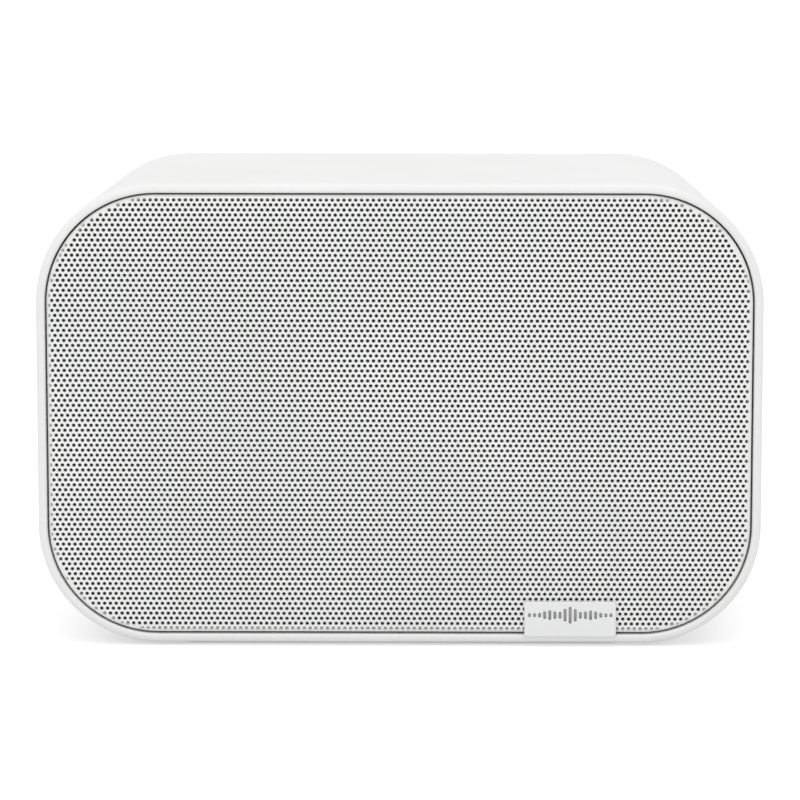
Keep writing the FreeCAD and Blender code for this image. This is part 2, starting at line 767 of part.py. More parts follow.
def woofer_basket():
    """Pressed steel: a flange, a windowed cone, a shelf for the spider and a seat for the motor."""
    body = woofer_body("woofer_basket")
    sheet, seat = "dim.basket_sheet", "dim.woofer_seat"
    turned(
        body,
        ("dim.basket_mouth", f"{seat} - {sheet}"),
        ("dim.woofer_radius", f"{seat} - {sheet}"),
        ("dim.woofer_radius", seat),
        (f"dim.basket_mouth + {sheet}", seat),
        ("dim.basket_waist + 0.8", f"dim.spider_seat + {sheet}"),
        ("dim.top_plate_radius + 1.9", f"dim.spider_seat + {sheet}"),
        ("dim.top_plate_radius - 0.6", "dim.motor_seat"),
        ("dim.gap_radius + 0.6", "dim.motor_seat"),
        ("dim.gap_radius + 0.6", f"dim.motor_seat - {sheet}"),
        ("dim.top_plate_radius - 1.5", f"dim.motor_seat - {sheet}"),
        ("dim.top_plate_radius + 0.9", "dim.spider_seat"),
        ("dim.basket_waist", "dim.spider_seat"),
        ("dim.basket_mouth", f"{seat} - 0.2"),
    )
    near, far = "(dim.basket_waist + 2.3)", "(dim.basket_mouth - 1.3)"
    half, middle = "20 deg", "0 deg"
    window = [
        (f"{near} * cos({half})", f"-{near} * sin({half})"),
        (f"{far} * cos({half})", f"-{far} * sin({half})", far, (f"{far} * cos({middle})", "0")),
        (f"{far} * cos({half})", f"{far} * sin({half})"),
        (f"{near} * cos({half})", f"{near} * sin({half})", near, (f"{near} * cos({middle})", "0")),
    ]
    opening = pocket(body, "XZ", "0", "dim.spider_seat + 2", outline(window))
    pattern = body.newObject("PartDesign::PolarPattern", "windows")
    pattern.Originals = [opening]
    y_axis = next(f for f in body.Origin.OriginFeatures if f.Role == "Y_Axis")
    pattern.Axis = (y_axis, [""])
    pattern.Angle = 360
    pattern.Occurrences = 6
    body.Tip = pattern
    doc.recompute()
    zero = "0"
    holes = ring_of(zero, zero, "dim.woofer_screw_circle", QUARTERS)
    pocket(body, "XZ", "0", seat, *[disc(x, z, "dim.screw_clear") for x, z in holes])
    keep("woofer_basket", body)


def woofer_trim_ring():
    """The pressed-pulp ring that clamps the surround to the basket's flange."""
    body = woofer_body("woofer_trim_ring")
    flange = "dim.woofer_seat - dim.basket_sheet"
    turned(
        body,
        ("dim.surround_outer - 1.3", "-0.5"),
        ("dim.woofer_radius", "-0.5"),
        ("dim.woofer_radius", flange),
        ("dim.surround_outer + 0.1", flange),
        ("dim.surround_outer + 0.1", f"{flange} - dim.surround_skin"),
        ("dim.surround_outer - 1.3", f"{flange} - dim.surround_skin"),
    )
    holes = ring_of("0", "0", "dim.woofer_screw_circle", QUARTERS)
    pocket(body, "XZ", "-0.5", "2.5", *[disc(x, z, "dim.screw_clear") for x, z in holes])
    keep("woofer_trim_ring", body)


def woofer_surround():
    """Rubber half-roll between the basket's flange and the edge of the cone."""
    body = woofer_body("woofer_surround")
    face = "(dim.woofer_seat - dim.basket_sheet)"
    skin = "dim.surround_skin"
    crown = "(dim.surround_outer / 2 + dim.cone_radius / 2 - 0.9)"
    turned(
        body,
        ("dim.cone_radius - 2.2", face),
        (f"{crown} - 3.6", face, "3.65", (crown, f"{face} - 3.05")),
        (f"{crown} + 3.6", face),
        ("dim.surround_outer", face),
        ("dim.surround_outer", f"{face} - {skin}"),
        (f"{crown} + 4.05", f"{face} - {skin}", "4.15", (crown, f"{face} - 3.75")),
        (f"{crown} - 4.05", f"{face} - {skin}"),
        ("dim.cone_radius - 2.2", f"{face} - {skin}"),
    )
    keep("woofer_surround", body)


def woofer_cone():
    """Coated paper cone, glued to the coil former at its neck."""
    body = woofer_body("woofer_cone")
    face = "(dim.woofer_seat - dim.basket_sheet)"
    turned(
        body,
        ("dim.cone_radius - 2.2", face),
        ("dim.cone_radius - 0.1", face),
        ("dim.cone_radius - 0.1", f"{face} + dim.cone_skin"),
        ("dim.cone_radius - 2.6", f"{face} + dim.cone_skin"),
        ("dim.cone_neck + 0.1", "dim.cone_neck_back + dim.cone_skin"),
        ("dim.cone_neck", "dim.cone_neck_back + dim.cone_skin"),
        ("dim.cone_neck", "dim.cone_neck_back - 0.4"),
    )
    keep("woofer_cone", body)


def crown(radius, edge, rise):
    """The radius and a middle point of an arc that rises from a rim to a small flat at the centre."""
    run = f"({radius} - dim.crown_flat)"
    bend = f"(({run} * {run} + {rise} * {rise}) / (2 * {rise}))"
    half = f"asin({run} / {bend}) / 2"
    return bend, (f"dim.crown_flat + {bend} * sin({half})", f"{edge} - {rise} + {bend} * (1 - cos({half}))")


def woofer_dust_cap():
    """A shallow pressed cap glued over the coil to the front of the cone."""
    body = woofer_body("woofer_dust_cap")
    face = "(dim.woofer_seat - dim.basket_sheet)"
    slope = "(dim.cone_neck_back - 0.4 - 1.3) / (dim.cone_radius - 2.2 - dim.cone_neck)"
    edge = f"({face} + (dim.cone_radius - 2.2 - dim.cap_radius) * {slope} - 0.05)"
    inside = "(dim.cap_radius - 1)"
    inner_rise = "(dim.cap_rise - dim.cap_skin)"
    turned(
        body,
        ("0", f"{edge} - dim.cap_rise"),
        ("dim.crown_flat", f"{edge} - dim.cap_rise", *crown("dim.cap_radius", edge, "dim.cap_rise")),
        ("dim.cap_radius", edge),
        (inside, edge, *crown(inside, edge, inner_rise)),
        ("dim.crown_flat", f"{edge} - {inner_rise}"),
        ("0", f"{edge} - {inner_rise}"),
    )
    keep("woofer_dust_cap", body)


def woofer_spider():
    """Corrugated cloth damper between the coil former and the basket's shelf."""
    body = woofer_body("woofer_spider")
    inner, outer, waves, skin = "(dim.cone_neck + 0.02)", "(dim.basket_waist - 0.3)", 5, 0.4
    level = "dim.spider_seat"
    step = f"(({outer} - 5.2 - {inner} - 1) / {4 * waves})"
    ridge = [(f"({inner} + 1 + {i} * {step})", (0, 1, 0, -1)[i % 4]) for i in range(4 * waves + 1)]
    front = [(r, f"{level} - {skin} - {1.1 * side}") for r, side in ridge]
    back = [(r, f"{level} - {1.1 * side}") for r, side in reversed(ridge)]
    turned(
        body,
        (inner, f"{level} - {skin}"),
        *front,
        (outer, f"{level} - {skin}"),
        (outer, level),
        *back,
        (inner, level),
    )
    keep("woofer_spider", body)


def woofer_voice_coil():
    """A thin former with the copper winding on its rear end."""
    body = woofer_body("woofer_voice_coil")
    start, coil_start, coil_end = "dim.cone_neck_back - 1.6", "dim.motor_seat - 2", "dim.motor_seat + 6"
    turned(
        body,
        ("dim.former_inner", start),
        ("dim.former_inner + dim.former_skin", start),
        ("dim.former_inner + dim.former_skin", coil_start),
        ("dim.coil_radius", coil_start),
        ("dim.coil_radius", coil_end),
        ("dim.former_inner", coil_end),
    )
    keep("woofer_voice_coil", body)


def woofer_motor():
    """Top plate, ferrite ring, and the yoke with its pole in one forging."""
    front = "dim.motor_seat"
    plate_back = "dim.motor_seat + dim.top_plate_thick"
    magnet_back = f"{plate_back} + dim.magnet_thick"
    plate = woofer_body("woofer_top_plate")
    turned(
        plate,
        ("dim.gap_radius", front),
        ("dim.top_plate_radius", front),
        ("dim.top_plate_radius", plate_back),
        ("dim.gap_radius", plate_back),
    )
    keep("woofer_top_plate", plate)
    magnet = woofer_body("woofer_magnet")
    turned(
        magnet,
        ("dim.magnet_hole", plate_back),
        ("dim.magnet_radius - 1", plate_back),
        ("dim.magnet_radius", f"{plate_back} + 1"),
        ("dim.magnet_radius", f"{magnet_back} - 1"),
        ("dim.magnet_radius - 1", magnet_back),
        ("dim.magnet_hole", magnet_back),
    )
    keep("woofer_magnet", magnet)
    yoke = woofer_body("woofer_yoke")
    turned(
        yoke,
        ("0", front),
        ("dim.pole_radius - 0.5", front),
        ("dim.pole_radius", f"{front} + 0.5"),
        ("dim.pole_radius", magnet_back),
        ("dim.top_plate_radius", magnet_back),
        ("dim.top_plate_radius", f"{magnet_back} + dim.yoke_thick - 1.5"),
        ("dim.top_plate_radius - 2", f"{magnet_back} + dim.yoke_thick"),
        ("0", f"{magnet_back} + dim.yoke_thick"),
    )
    keep("woofer_yoke", yoke)


def woofer_terminals():
    """A fibre strip with two solder tabs on the top of the basket."""
    low = "dim.woofer_z + dim.basket_mouth - 0.2"
    strip = block("terminal_strip", "-9", at("dim.baffle_back + 6.4"), low, "18", "8", "1.2")
    tabs = [
        block("terminal_tab", f"{x} - 1.4", at("dim.baffle_back + 10"), f"{low} + 1.2", "2.8", "7", "0.5")
        for x in ("-5", "5")
    ]
    group("woofer_terminals", [strip, *tabs])


# ---------------------------------------------------------------- tweeters
def tweeter(side, sign):
    """A soft dome: faceplate, moving dome with its coil former, and a small cup magnet."""
    place = (f"{sign}dim.tweeter_x", at("dim.baffle_back"), "dim.tweeter_z")
    plate = new_body(f"tweeter_faceplate_{side}", *place)
    seat, skirt, cup = "dim.tweeter_seat", "dim.tweeter_skirt", "dim.cup_radius"
    turned(
        plate,
        (f"{cup} - 0.9", "1"),
        (f"{cup} + 1.2", "0"),
        ("dim.tweeter_radius - 0.6", "0"),
        ("dim.tweeter_radius", "0.6"),
        ("dim.tweeter_radius", seat),
        (skirt, seat),
        (skirt, f"{seat} + 6"),
        (f"{cup} + 0.05", f"{seat} + 6"),
        (f"{cup} + 0.05", f"{seat} + 0.9"),
        (f"{cup} - 0.9", f"{seat} + 0.9"),
    )
    holes = ring_of("0", "0", "dim.tweeter_screw_circle", QUARTERS)
    pocket(plate, "XZ", "0", seat, *[disc(x, z, "dim.small_screw_radius + 0.2") for x, z in holes])
    keep(f"tweeter_faceplate_{side}", plate)

    dome = new_body(f"tweeter_dome_{side}", *place)
    edge, inside, coil = "2.5", "(dim.dome_radius - dim.dome_skin)", "(dim.dome_radius + 0.3)"
    inner_edge, inner_rise = f"({edge} + 0.3)", "(dim.dome_rise + 0.3 - dim.dome_skin)"
    turned(
        dome,
        ("0", f"{edge} - dim.dome_rise"),
        ("dim.crown_flat", f"{edge} - dim.dome_rise", *crown("dim.dome_radius", edge, "dim.dome_rise")),
        ("dim.dome_radius", edge),
        ("dim.dome_radius", "4.2"),
        (coil, "4.2"),
        (coil, "7"),
        (inside, "7"),
        (inside, inner_edge, *crown(inside, inner_edge, inner_rise)),
        ("dim.crown_flat", f"{inner_edge} - {inner_rise}"),
        ("0", f"{inner_edge} - {inner_rise}"),
    )
    keep(f"tweeter_dome_{side}", dome)

    cup_body = new_body(f"tweeter_cup_{side}", *place)
    front = "3.4"
    turned(
        cup_body,
        ("dim.cup_bore", front),
        (cup, front),
        (cup, "14"),
        ("0", "14"),
        ("0", "11.5"),
        ("dim.cup_bore", "11.5"),
    )
    slug = new_body(f"tweeter_slug_{side}", *place)
    turned(slug, ("0", "5.4"), ("dim.pole_piece - 0.3", "5.4"), ("dim.pole_piece - 0.3", "11.5"), ("0", "11.5"))
    pole = new_body(f"tweeter_pole_{side}", *place)
    turned(pole, ("0", front), ("dim.pole_piece", front), ("dim.pole_piece", "5.4"), ("0", "5.4"))
    group(f"tweeter_motor_{side}", [cup_body, slug, pole])


def tweeter_suspensions():
    """The soft rings that carry the two domes."""
    master = new_body("suspension_pattern")
    inner, lip, level = "(dim.dome_radius + 0.02)", "(dim.cup_radius - 0.9)", "3.4"
    turned(
        master,
        (inner, "2.5"),
        (f"({inner} + {lip}) / 2 - 0.5", "1.9"),
        (f"({inner} + {lip}) / 2 + 0.5", "1.9"),
        (lip, f"{level} - 0.5"),
        ("dim.cup_radius", f"{level} - 0.5"),
        ("dim.cup_radius", level),
        (f"{lip} - 0.1", level),
        (f"({inner} + {lip}) / 2 + 0.3", "2.4"),
        (f"({inner} + {lip}) / 2 - 0.3", "2.4"),
        (inner, "3"),
    )
    places = [(f"{sign}dim.tweeter_x", at("dim.baffle_back"), "dim.tweeter_z") for sign in SIDES]
    repeated("tweeter_suspensions", master, places)


# ---------------------------------------------------------------- microphones and light
def microphones():
    """A narrow board behind the top of the grille with two microphones and a status light."""
    board_front = at("dim.baffle_back - dim.mic_post_height - dim.board_thick")
    board = new_body("mic_board")
    holes = [disc(f"{s}dim.mic_post_x", "dim.mic_z", "dim.small_screw_radius + 0.1") for s in SIDES]
    edge = rounded("-dim.mic_post_x - 5", "dim.mic_post_x + 5", "dim.mic_z - 5.5", "dim.mic_z + 5.5", "2")
    pad(board, "XZ", board_front, "dim.board_thick", edge, *holes)
    keep("mic_board", board)
    cans = []
    for x in ("-13.9", "10.1"):
        can = block("mic_can", x, f"{board_front} - 1.1", "dim.mic_z - 1.5", "3.8", "1.1", "3")
        port = rod("mic_port", f"{x} + 1.9", f"{board_front} - 1.2", "dim.mic_z", "0.4", "0.6")
        cans.append(cut("mic_capsule", can, [port]))
    group("mic_capsules", cans)
    light = new_body("status_light", "0", board_front, "dim.mic_z")
    turned(light, ("0", "-3"), ("1.1", "-2.8"), ("1.5", "-2"), ("1.5", "-0.8"), ("2.2", "-0.8"), ("2.2", "0"), ("0", "0"))
    keep("status_light", light)


# ---------------------------------------------------------------- rear panel
def rear_panel():
    """The back plate, with a window for the terminal tray."""
    body = new_body("rear_panel")
    face = "dim.depth - 2"
    inner = f"{face} - dim.panel_thick"
    pad(body, "XZ", at(inner), "dim.panel_thick", section("dim.depth", "dim.wall + dim.fit_gap"))
    pocket(body, "XZ", at(inner), "dim.panel_thick", bay_outline("dim.bay_wall"))
    key_face = "(dim.key_board_back + dim.board_thick)"
    key_posts = [disc(str(x), "dim.key_z", "3") for x in key_board_posts]
    pad(body, "XZ", at(key_face), f"{inner} - {key_face}", *key_posts)
    small_holes = [disc(str(x), "dim.key_z", "dim.small_screw_radius") for x in key_board_posts]
    pocket(body, "XZ", at(key_face), "5", *small_holes)
    pocket(body, "XZ", at(inner), "dim.panel_thick", disc("0", "dim.port_z", "dim.port_seat + 0.1"))
    keys = [disc(x, "dim.key_z", "dim.key_radius + 0.25") for x in key_places]
    pocket(body, "XZ", at(inner), "dim.panel_thick", *keys)
    slot = rounded(
        "dim.slider_x - 5.4", "dim.slider_x + dim.slider_travel + 0.4", "dim.key_z - 1.7", "dim.key_z + 1.7", "1.2"
    )
    pocket(body, "XZ", at(inner), "dim.panel_thick", slot)
    pocket(body, "XZ", at(inner), "dim.panel_thick", *[disc(x, z, "dim.screw_clear") for x, z in rear_screw_places])
    counterbores = [disc(x, z, "dim.screw_head + 0.4") for x, z in rear_screw_places]
    pocket(body, "XZ", at(f"{face} - 1.2"), "1.2", *counterbores)
    keep("rear_panel", body)


def bay_outline(inset):
    """The terminal bay's rounded outline, moved inwards by inset."""
    return rounded(
        f"-dim.bay_half_width + {inset}",
        f"dim.bay_half_width - {inset}",
        f"dim.bay_low + {inset}",
        f"dim.bay_high - {inset}",
        f"dim.bay_corner - {inset}",
    )


def terminal_tray():
    """The sunken tray that holds the sockets, welded behind the panel's window, with the board's posts."""
    body = new_body("terminal_tray")
    inner = "dim.depth - 2 - dim.panel_thick"
    wall = "dim.bay_wall"
    floor_front = f"{inner} - dim.bay_deep"
    pad(body, "XZ", at(floor_front), "dim.bay_deep", bay_outline("0"))
    pocket(body, "XZ", at(f"{floor_front} + {wall}"), f"dim.bay_deep - {wall}", bay_outline(wall))
    board_face = "(dim.main_board_back + dim.board_thick)"
    posts = [disc(str(x), str(z), "3") for x, z in board_posts]
    pad(body, "XZ", at(board_face), f"{floor_front} - {board_face}", *posts)
    pocket(body, "XZ", at(board_face), "5", *[disc(str(x), str(z), "dim.small_screw_radius") for x, z in board_posts])
    cutouts = [
        rounded("dim.inlet_x - 11", "dim.inlet_x + 11", "dim.socket_z - 6.5", "dim.socket_z + 6.5", "2.5"),
        rounded("dim.usb_x - 6.8", "dim.usb_x + 6.8", "dim.socket_z - 3.1", "dim.socket_z + 3.1", "0.4"),
        disc("dim.aux_x", "dim.socket_z", "4.1"),
    ]
    pocket(body, "XZ", at(floor_front), wall, *cutouts)
    keep("terminal_tray", body)


def bass_port():
    """The reflex tube, with a flared mouth that lies on the rear panel."""
    body = new_body("bass_port", "0", at("dim.depth - 2"), "dim.port_z")
    lip, flare = "1.6", "(dim.port_flange - 2 - dim.port_bore)"
    turned(
        body,
        ("dim.port_bore", "-dim.port_length"),
        (
            "dim.port_bore", f"{lip} - {flare}", flare,
            (
                f"dim.port_bore + {flare} * (1 - cos(45 deg))",
                f"{lip} - {flare} * (1 - sin(45 deg))",
            ),
        ),
        (f"dim.port_bore + {flare}", lip),
        ("dim.port_flange - 0.4", lip),
        ("dim.port_flange", f"{lip} - 0.5"),
        ("dim.port_flange", "0"),
        ("dim.port_seat", "0"),
        ("dim.port_seat", "-dim.panel_thick"),
        ("dim.port_tube", "-dim.panel_thick - 5"),
        ("dim.port_tube", "-dim.port_length + 1"),
        ("dim.port_tube - 1", "-dim.port_length"),
    )  # fmt: skip
    keep("bass_port", body)


def keys():
    """Four push keys, the rubber mat that springs them, the mute slider and their board."""
    face, inner = "dim.depth - 2", "(dim.depth - 2 - dim.panel_thick)"
    for name, x in zip(key_names, key_places):
        body = new_body(name, x, at(inner), "dim.key_z")
        turned(
            body,
            ("0", "dim.panel_thick + 0.9"),
            ("dim.key_radius - 1.4", "dim.panel_thick + 1.1"),
            ("dim.key_radius - 0.4", "dim.panel_thick + 1.2"),
            ("dim.key_radius", "dim.panel_thick + 0.8"),
            ("dim.key_radius", "-0.1"),
            ("dim.key_flange", "-0.1"),
            ("dim.key_flange", "-1.4"),
            ("2.2", "-1.4"),
            ("2.2", "-3.5"),
            ("0", "-3.5"),
        )
        keep(name, body)
    board = new_body("key_board")
    holes = [disc(str(x), "dim.key_z", "dim.small_screw_radius + 0.1") for x in key_board_posts]
    edge = rounded("-53", "78", "dim.key_z - 7", "dim.key_z + 7", "2")
    pad(board, "XZ", at("dim.key_board_back"), "dim.board_thick", edge, *holes)
    keep("key_board", board)
    mat = new_body("key_mat")
    mat_back = "dim.key_board_back + dim.board_thick"
    pad(mat, "XZ", at(mat_back), "1", rounded("-42", "42", "dim.key_z - 6.5", "dim.key_z + 6.5", "2"))
    pad(mat, "XZ", at(f"{mat_back} + 1"), f"{inner} - 3.5 - ({mat_back} + 1)", *[disc(x, "dim.key_z", "3") for x in key_places])
    pocket(mat, "XZ", at(mat_back), "1.8", *[disc(x, "dim.key_z", "2") for x in key_places])
    keep("key_mat", mat)
    slide_switch = block(
        "mute_switch_case", "dim.slider_x - 7", at(mat_back), "dim.key_z - 2.2", "13", "3.4", "4.4"
    )
    keep("mute_switch", slide_switch)
    slider = new_body("mute_slider", "dim.slider_x", at(inner), "dim.key_z")
    pad(slider, "XZ", "-0.1", "dim.panel_thick + 1.1", rounded("-5", "0", "-1.45", "1.45", "0.9"))
    pad(slider, "XZ", "-1.3", "1.2", rounded("-8.5", "3.5", "-3", "3", "0.8"))
    pad(slider, "XZ", "-2.9", "1.6", rounded("-3.4", "-1.6", "-1", "1", "0.3"))
    keep("mute_slider", slider)


# ---------------------------------------------------------------- sockets
def sockets():
    """Figure-eight mains inlet, service socket and line-in jack, all opening into the bay."""
    floor_front = "(dim.depth - 2 - dim.panel_thick - dim.bay_deep)"
    floor_back = f"({floor_front} + dim.bay_wall)"
    inlet = new_body("power_inlet_case", "dim.inlet_x", at(floor_back), "dim.socket_z")
    pad(inlet, "XZ", "0", "2", rounded("-13.5", "13.5", "-8.5", "8.5", "3"))
    pad(inlet, "XZ", "-14", "14", rounded("-10.8", "10.8", "-6.3", "6.3", "2.3"))
    pocket(inlet, "XZ", "-10", "12", rounded("-7.9", "7.9", "-3.9", "3.9", "3.85"))
    pins = []
    for x in ("-4.3", "4.3"):
        pins.append(rod("inlet_pin", f"dim.inlet_x + {x}", at(f"{floor_back} - 10"), "dim.socket_z", "1.18", "9"))
        tab = (f"dim.inlet_x + {x} - 1.2", at(f"{floor_back} - 19"), "dim.socket_z - 0.4")
        pins.append(block("inlet_tab", *tab, "2.4", "5", "0.8"))
    group("power_inlet", [inlet, *pins])

    board_face = "(dim.main_board_back + dim.board_thick)"
    reach = f"{floor_back} + 0.6 - {board_face}"
    can = block("usb_can", "dim.usb_x - 6.55", at(board_face), "dim.socket_z - 2.85", "13.1", reach, "5.7")
    mouth = ("dim.usb_x - 6.15", at(f"{floor_back} - 11"), "dim.socket_z - 2.45", "12.3", "12", "4.9")
    tongue = block(
        "usb_tongue", "dim.usb_x - 5.6", at(f"{floor_back} - 11"), "dim.socket_z - 0.2", "11.2", "9.5", "1.9"
    )
    group("usb_socket", [cut("usb_shell", can, [block("usb_mouth", *mouth)]), tongue])

    jack = new_body("aux_jack", "dim.aux_x", at(floor_back), "dim.socket_z")
    pad(jack, "XZ", f"{board_face} - {floor_back}", f"{floor_front} - {board_face} - 0.1", rounded("-5", "5", "-6", "6", "0.8"))
    pad(jack, "XZ", "-2.7", "3.7", disc("0", "0", "4"))
    pocket(jack, "XZ", "-13", "14", disc("0", "0", "dim.jack_bore"))
    keep("aux_jack", jack)


# ---------------------------------------------------------------- boards
def boards():
    """Main board on the rear panel, mains supply board on the cabinet's floor."""
    main = new_body("main_board")
    holes = [disc(str(x), str(z), "dim.small_screw_radius + 0.1") for x, z in board_posts]
    edge = rounded("-35", "65", "21", "66", "2")
    pad(main, "XZ", at("dim.main_board_back"), "dim.board_thick", edge, *holes)
    keep("main_board", main)

    power = new_body("power_board")
    depth = [at("dim.power_board_front"), at("dim.power_board_rear")]
    power_holes = [disc(str(x), at(back), "dim.small_screw_radius + 0.1") for x, back in floor_posts]
    pad(
        power,
        "XY",
        bottom("dim.wall + dim.floor_post_height"),
        "dim.board_thick",
        rounded("-62", "50", *depth, "2"),
        *power_holes,
    )
    keep("power_board", power)

    front = "dim.main_board_back"
    fins = [block("sink_base", "18", at(f"{front} - 3"), "26", "34", "3", "30")]
    fins += [block("sink_fin", str(18 + 4 * i), at(f"{front} - 14"), "26", "2", "11", "30") for i in range(9)]
    sink = doc.addObject("Part::MultiFuse", "amplifier_heatsink")
    sink.Shapes = fins
    keep("amplifier_heatsink", sink)

    keep("wifi_module", block("wifi_module", "-30", at(f"{front} - 3"), "38", "22", "3", "18"))

    board_top = bottom("dim.wall + dim.floor_post_height + dim.board_thick")
    core = block("transformer_core", "-12", at("dim.power_board_front + 10"), board_top, "28", "24", "20")
    keep("mains_transformer", core)

    cans = [rod("board_can", str(x), at(f"{front} - 16"), "29", "5", "16") for x in (-20, -8, 4)]
    bulk = doc.addObject("Part::Cylinder", "bulk_can")
    bulk.setExpression("Radius", "8")
    bulk.setExpression("Height", "24")
    for axis, text in zip("xyz", ("30", at("dim.power_board_front + 20"), board_top)):
        bulk.setExpression(f".Placement.Base.{axis}", text)
    group("board_capacitors", [*cans, bulk])


def antennas():
    """Two small aerial boards stuck inside the rear panel."""
    inner = at("dim.depth - 2 - dim.panel_thick - 0.8")
    plates = [block("aerial", x, inner, "106", "34", "0.8", "8") for x in ("-84", "50")]
    group("antennas", plates)


def damping_pad():
    """Felted polyester under the cabinet's top."""
    lid = "(dim.wall + 0.9)"
    high = top("dim.front_ledge + 75", lid)
    keep("damping_pad", block("damping_pad", "-76", at("32"), f"{high} - 8", "152", "60", "8"))


# ---------------------------------------------------------------- leads
def lead(label, radius, points):
    """A round lead along straight runs joined by tangent arcs. It prints its bends and its volume check."""
    vertices = [V(*(number(t) for t in p)) for p in points]
    edges, last, bends = [], vertices[0], []
    for before, here, after in zip(vertices, vertices[1:], vertices[2:]):
        arriving, leaving = here - before, after - here
        turn = arriving.getAngle(leaving)
        run = min(arriving.Length, leaving.Length)
        bend = 0.45 * run / math.tan(turn / 2)
        reach = 0.45 * run
        start = here - arriving.normalize() * reach
        end = here + leaving.normalize() * reach
        inward = (start - here).normalize() + (end - here).normalize()
        centre = here + inward.normalize() * math.hypot(bend, reach)
        middle = centre + (here - centre).normalize() * bend
        edges.append(Part.LineSegment(last, start).toShape())
        edges.append(Part.Arc(start, middle, end).toShape())
        bends.append(round(bend, 1))
        last = end
    edges.append(Part.LineSegment(last, vertices[-1]).toShape())
    path = Part.Wire(edges)
    size = number(radius)
    heading = vertices[1] - vertices[0]
    profile = Part.Wire(Part.makeCircle(size, vertices[0], heading))
    tube = path.makePipeShell([profile], True, False)
    wanted = math.pi * size * size * path.Length
    print(label, "bends", bends, "volume ratio", round(tube.Volume / wanted, 4))
    feature = doc.addObject("Part::Feature", label)
    feature.Shape = tube
    return feature


def leads():
    """Internal wiring, each lead whole along its route."""
    tab_top = "dim.woofer_z + dim.basket_mouth + 1.5 + dim.lead_radius"
    board = "dim.main_board_back"
    woofer_wires = []
    for i, x in enumerate((-5, 5)):
        across = 54 + 5 * i
        route = [
            (f"{x}", at("dim.baffle_back + 13"), tab_top),
            (f"{x}", at("dim.baffle_back + 24"), tab_top),
            (f"{26 + 5 * i}", at("48"), "118"),
            (f"{46 + 5 * i}", at("72"), "100"),
            (f"{across - 2}", at("88"), "72"),
            (f"{across}", at("97"), "56"),
            (f"{across}", at(board), "56"),
        ]
        woofer_wires.append(lead("woofer_wire", "dim.lead_radius", route))
    group("woofer_leads", woofer_wires)

    motor_back = "dim.baffle_back + 14"
    tweeter_wires = []
    for sign, (end_x, end_z) in ((1, (60, 34)), (-1, (-18, 61))):
        for offset in (-2, 2):
            across = f"{sign} * dim.tweeter_x + {offset}"
            route = [
                (across, at(motor_back), "dim.tweeter_z + 5"),
                (across, at(f"{motor_back} + 12"), "dim.tweeter_z + 5"),
                (f"{sign} * 80 + {offset}", at("52"), "92"),
                (f"{sign} * 70 + {offset}", at("74"), "76"),
                (f"{end_x} + {offset}", at("95"), f"{end_z}"),
                (f"{end_x} + {offset}", at(board), f"{end_z}"),
            ]
            tweeter_wires.append(lead("tweeter_wire", "dim.lead_radius", route))
    group("tweeter_leads", tweeter_wires)

    start = "dim.depth - 2 - dim.panel_thick - dim.bay_deep + dim.bay_wall - 19"
    board_top = bottom("dim.wall + dim.floor_post_height + dim.board_thick")
    mains_wires = []
    for x in ("-4.3", "4.3"):
        across = f"dim.inlet_x + {x}"
        route = [
            (across, at(start), "dim.socket_z"),
            (across, at(f"{start} - 9"), "dim.socket_z"),
            (across, at("86"), "34"),
            (across, at("81"), "22"),
            (across, at("81"), board_top),
        ]
        mains_wires.append(lead("mains_wire", "dim.mains_lead_radius", route))
    group("mains_leads", mains_wires)


# ---------------------------------------------------------------- build and write
for build in (
    cabinet_shell, base_pad, front_baffle, gaskets, grille_sheet, grille_frame, acoustic_cloth,
    grille_grommets, name_tag, woofer_basket, woofer_trim_ring, woofer_surround, woofer_cone,
    woofer_dust_cap, woofer_spider, woofer_voice_coil, woofer_motor, woofer_terminals,
):  # fmt: skip
    build()
for side, sign in (("right", ""), ("left", "-")):
    tweeter(side, sign)
for build in (
    tweeter_suspensions, microphones, rear_panel, terminal_tray, bass_port, keys, sockets, boards,
    antennas, damping_pad, leads, fasteners,
):  # fmt: skip
    build()
doc.recompute()

faults = [o.Label for o in doc.Objects if {"Invalid", "Error"} & set(o.State)]
if faults:
    raise RuntimeError(f"objects that failed: {faults}")
for label, feature in nodes.items():
    if feature.Shape.isNull() or not feature.Shape.isValid() or not feature.Shape.Solids:
        raise RuntimeError(f"{label} has no valid solid")
os.makedirs("parts", exist_ok=True)
for label, feature in nodes.items():
    feature.Shape.exportStep(f"parts/{label}.step")
print(len(nodes), "nodes written")
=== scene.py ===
"""The looks of a white smart speaker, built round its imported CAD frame.

Metres, in the frame's own axes: +X to the right seen from the front, +Y to the back, +Z up.
"""
import math

import bpy
import numpy as np
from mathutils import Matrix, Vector
from mathutils.geometry import delaunay_2d_cdt


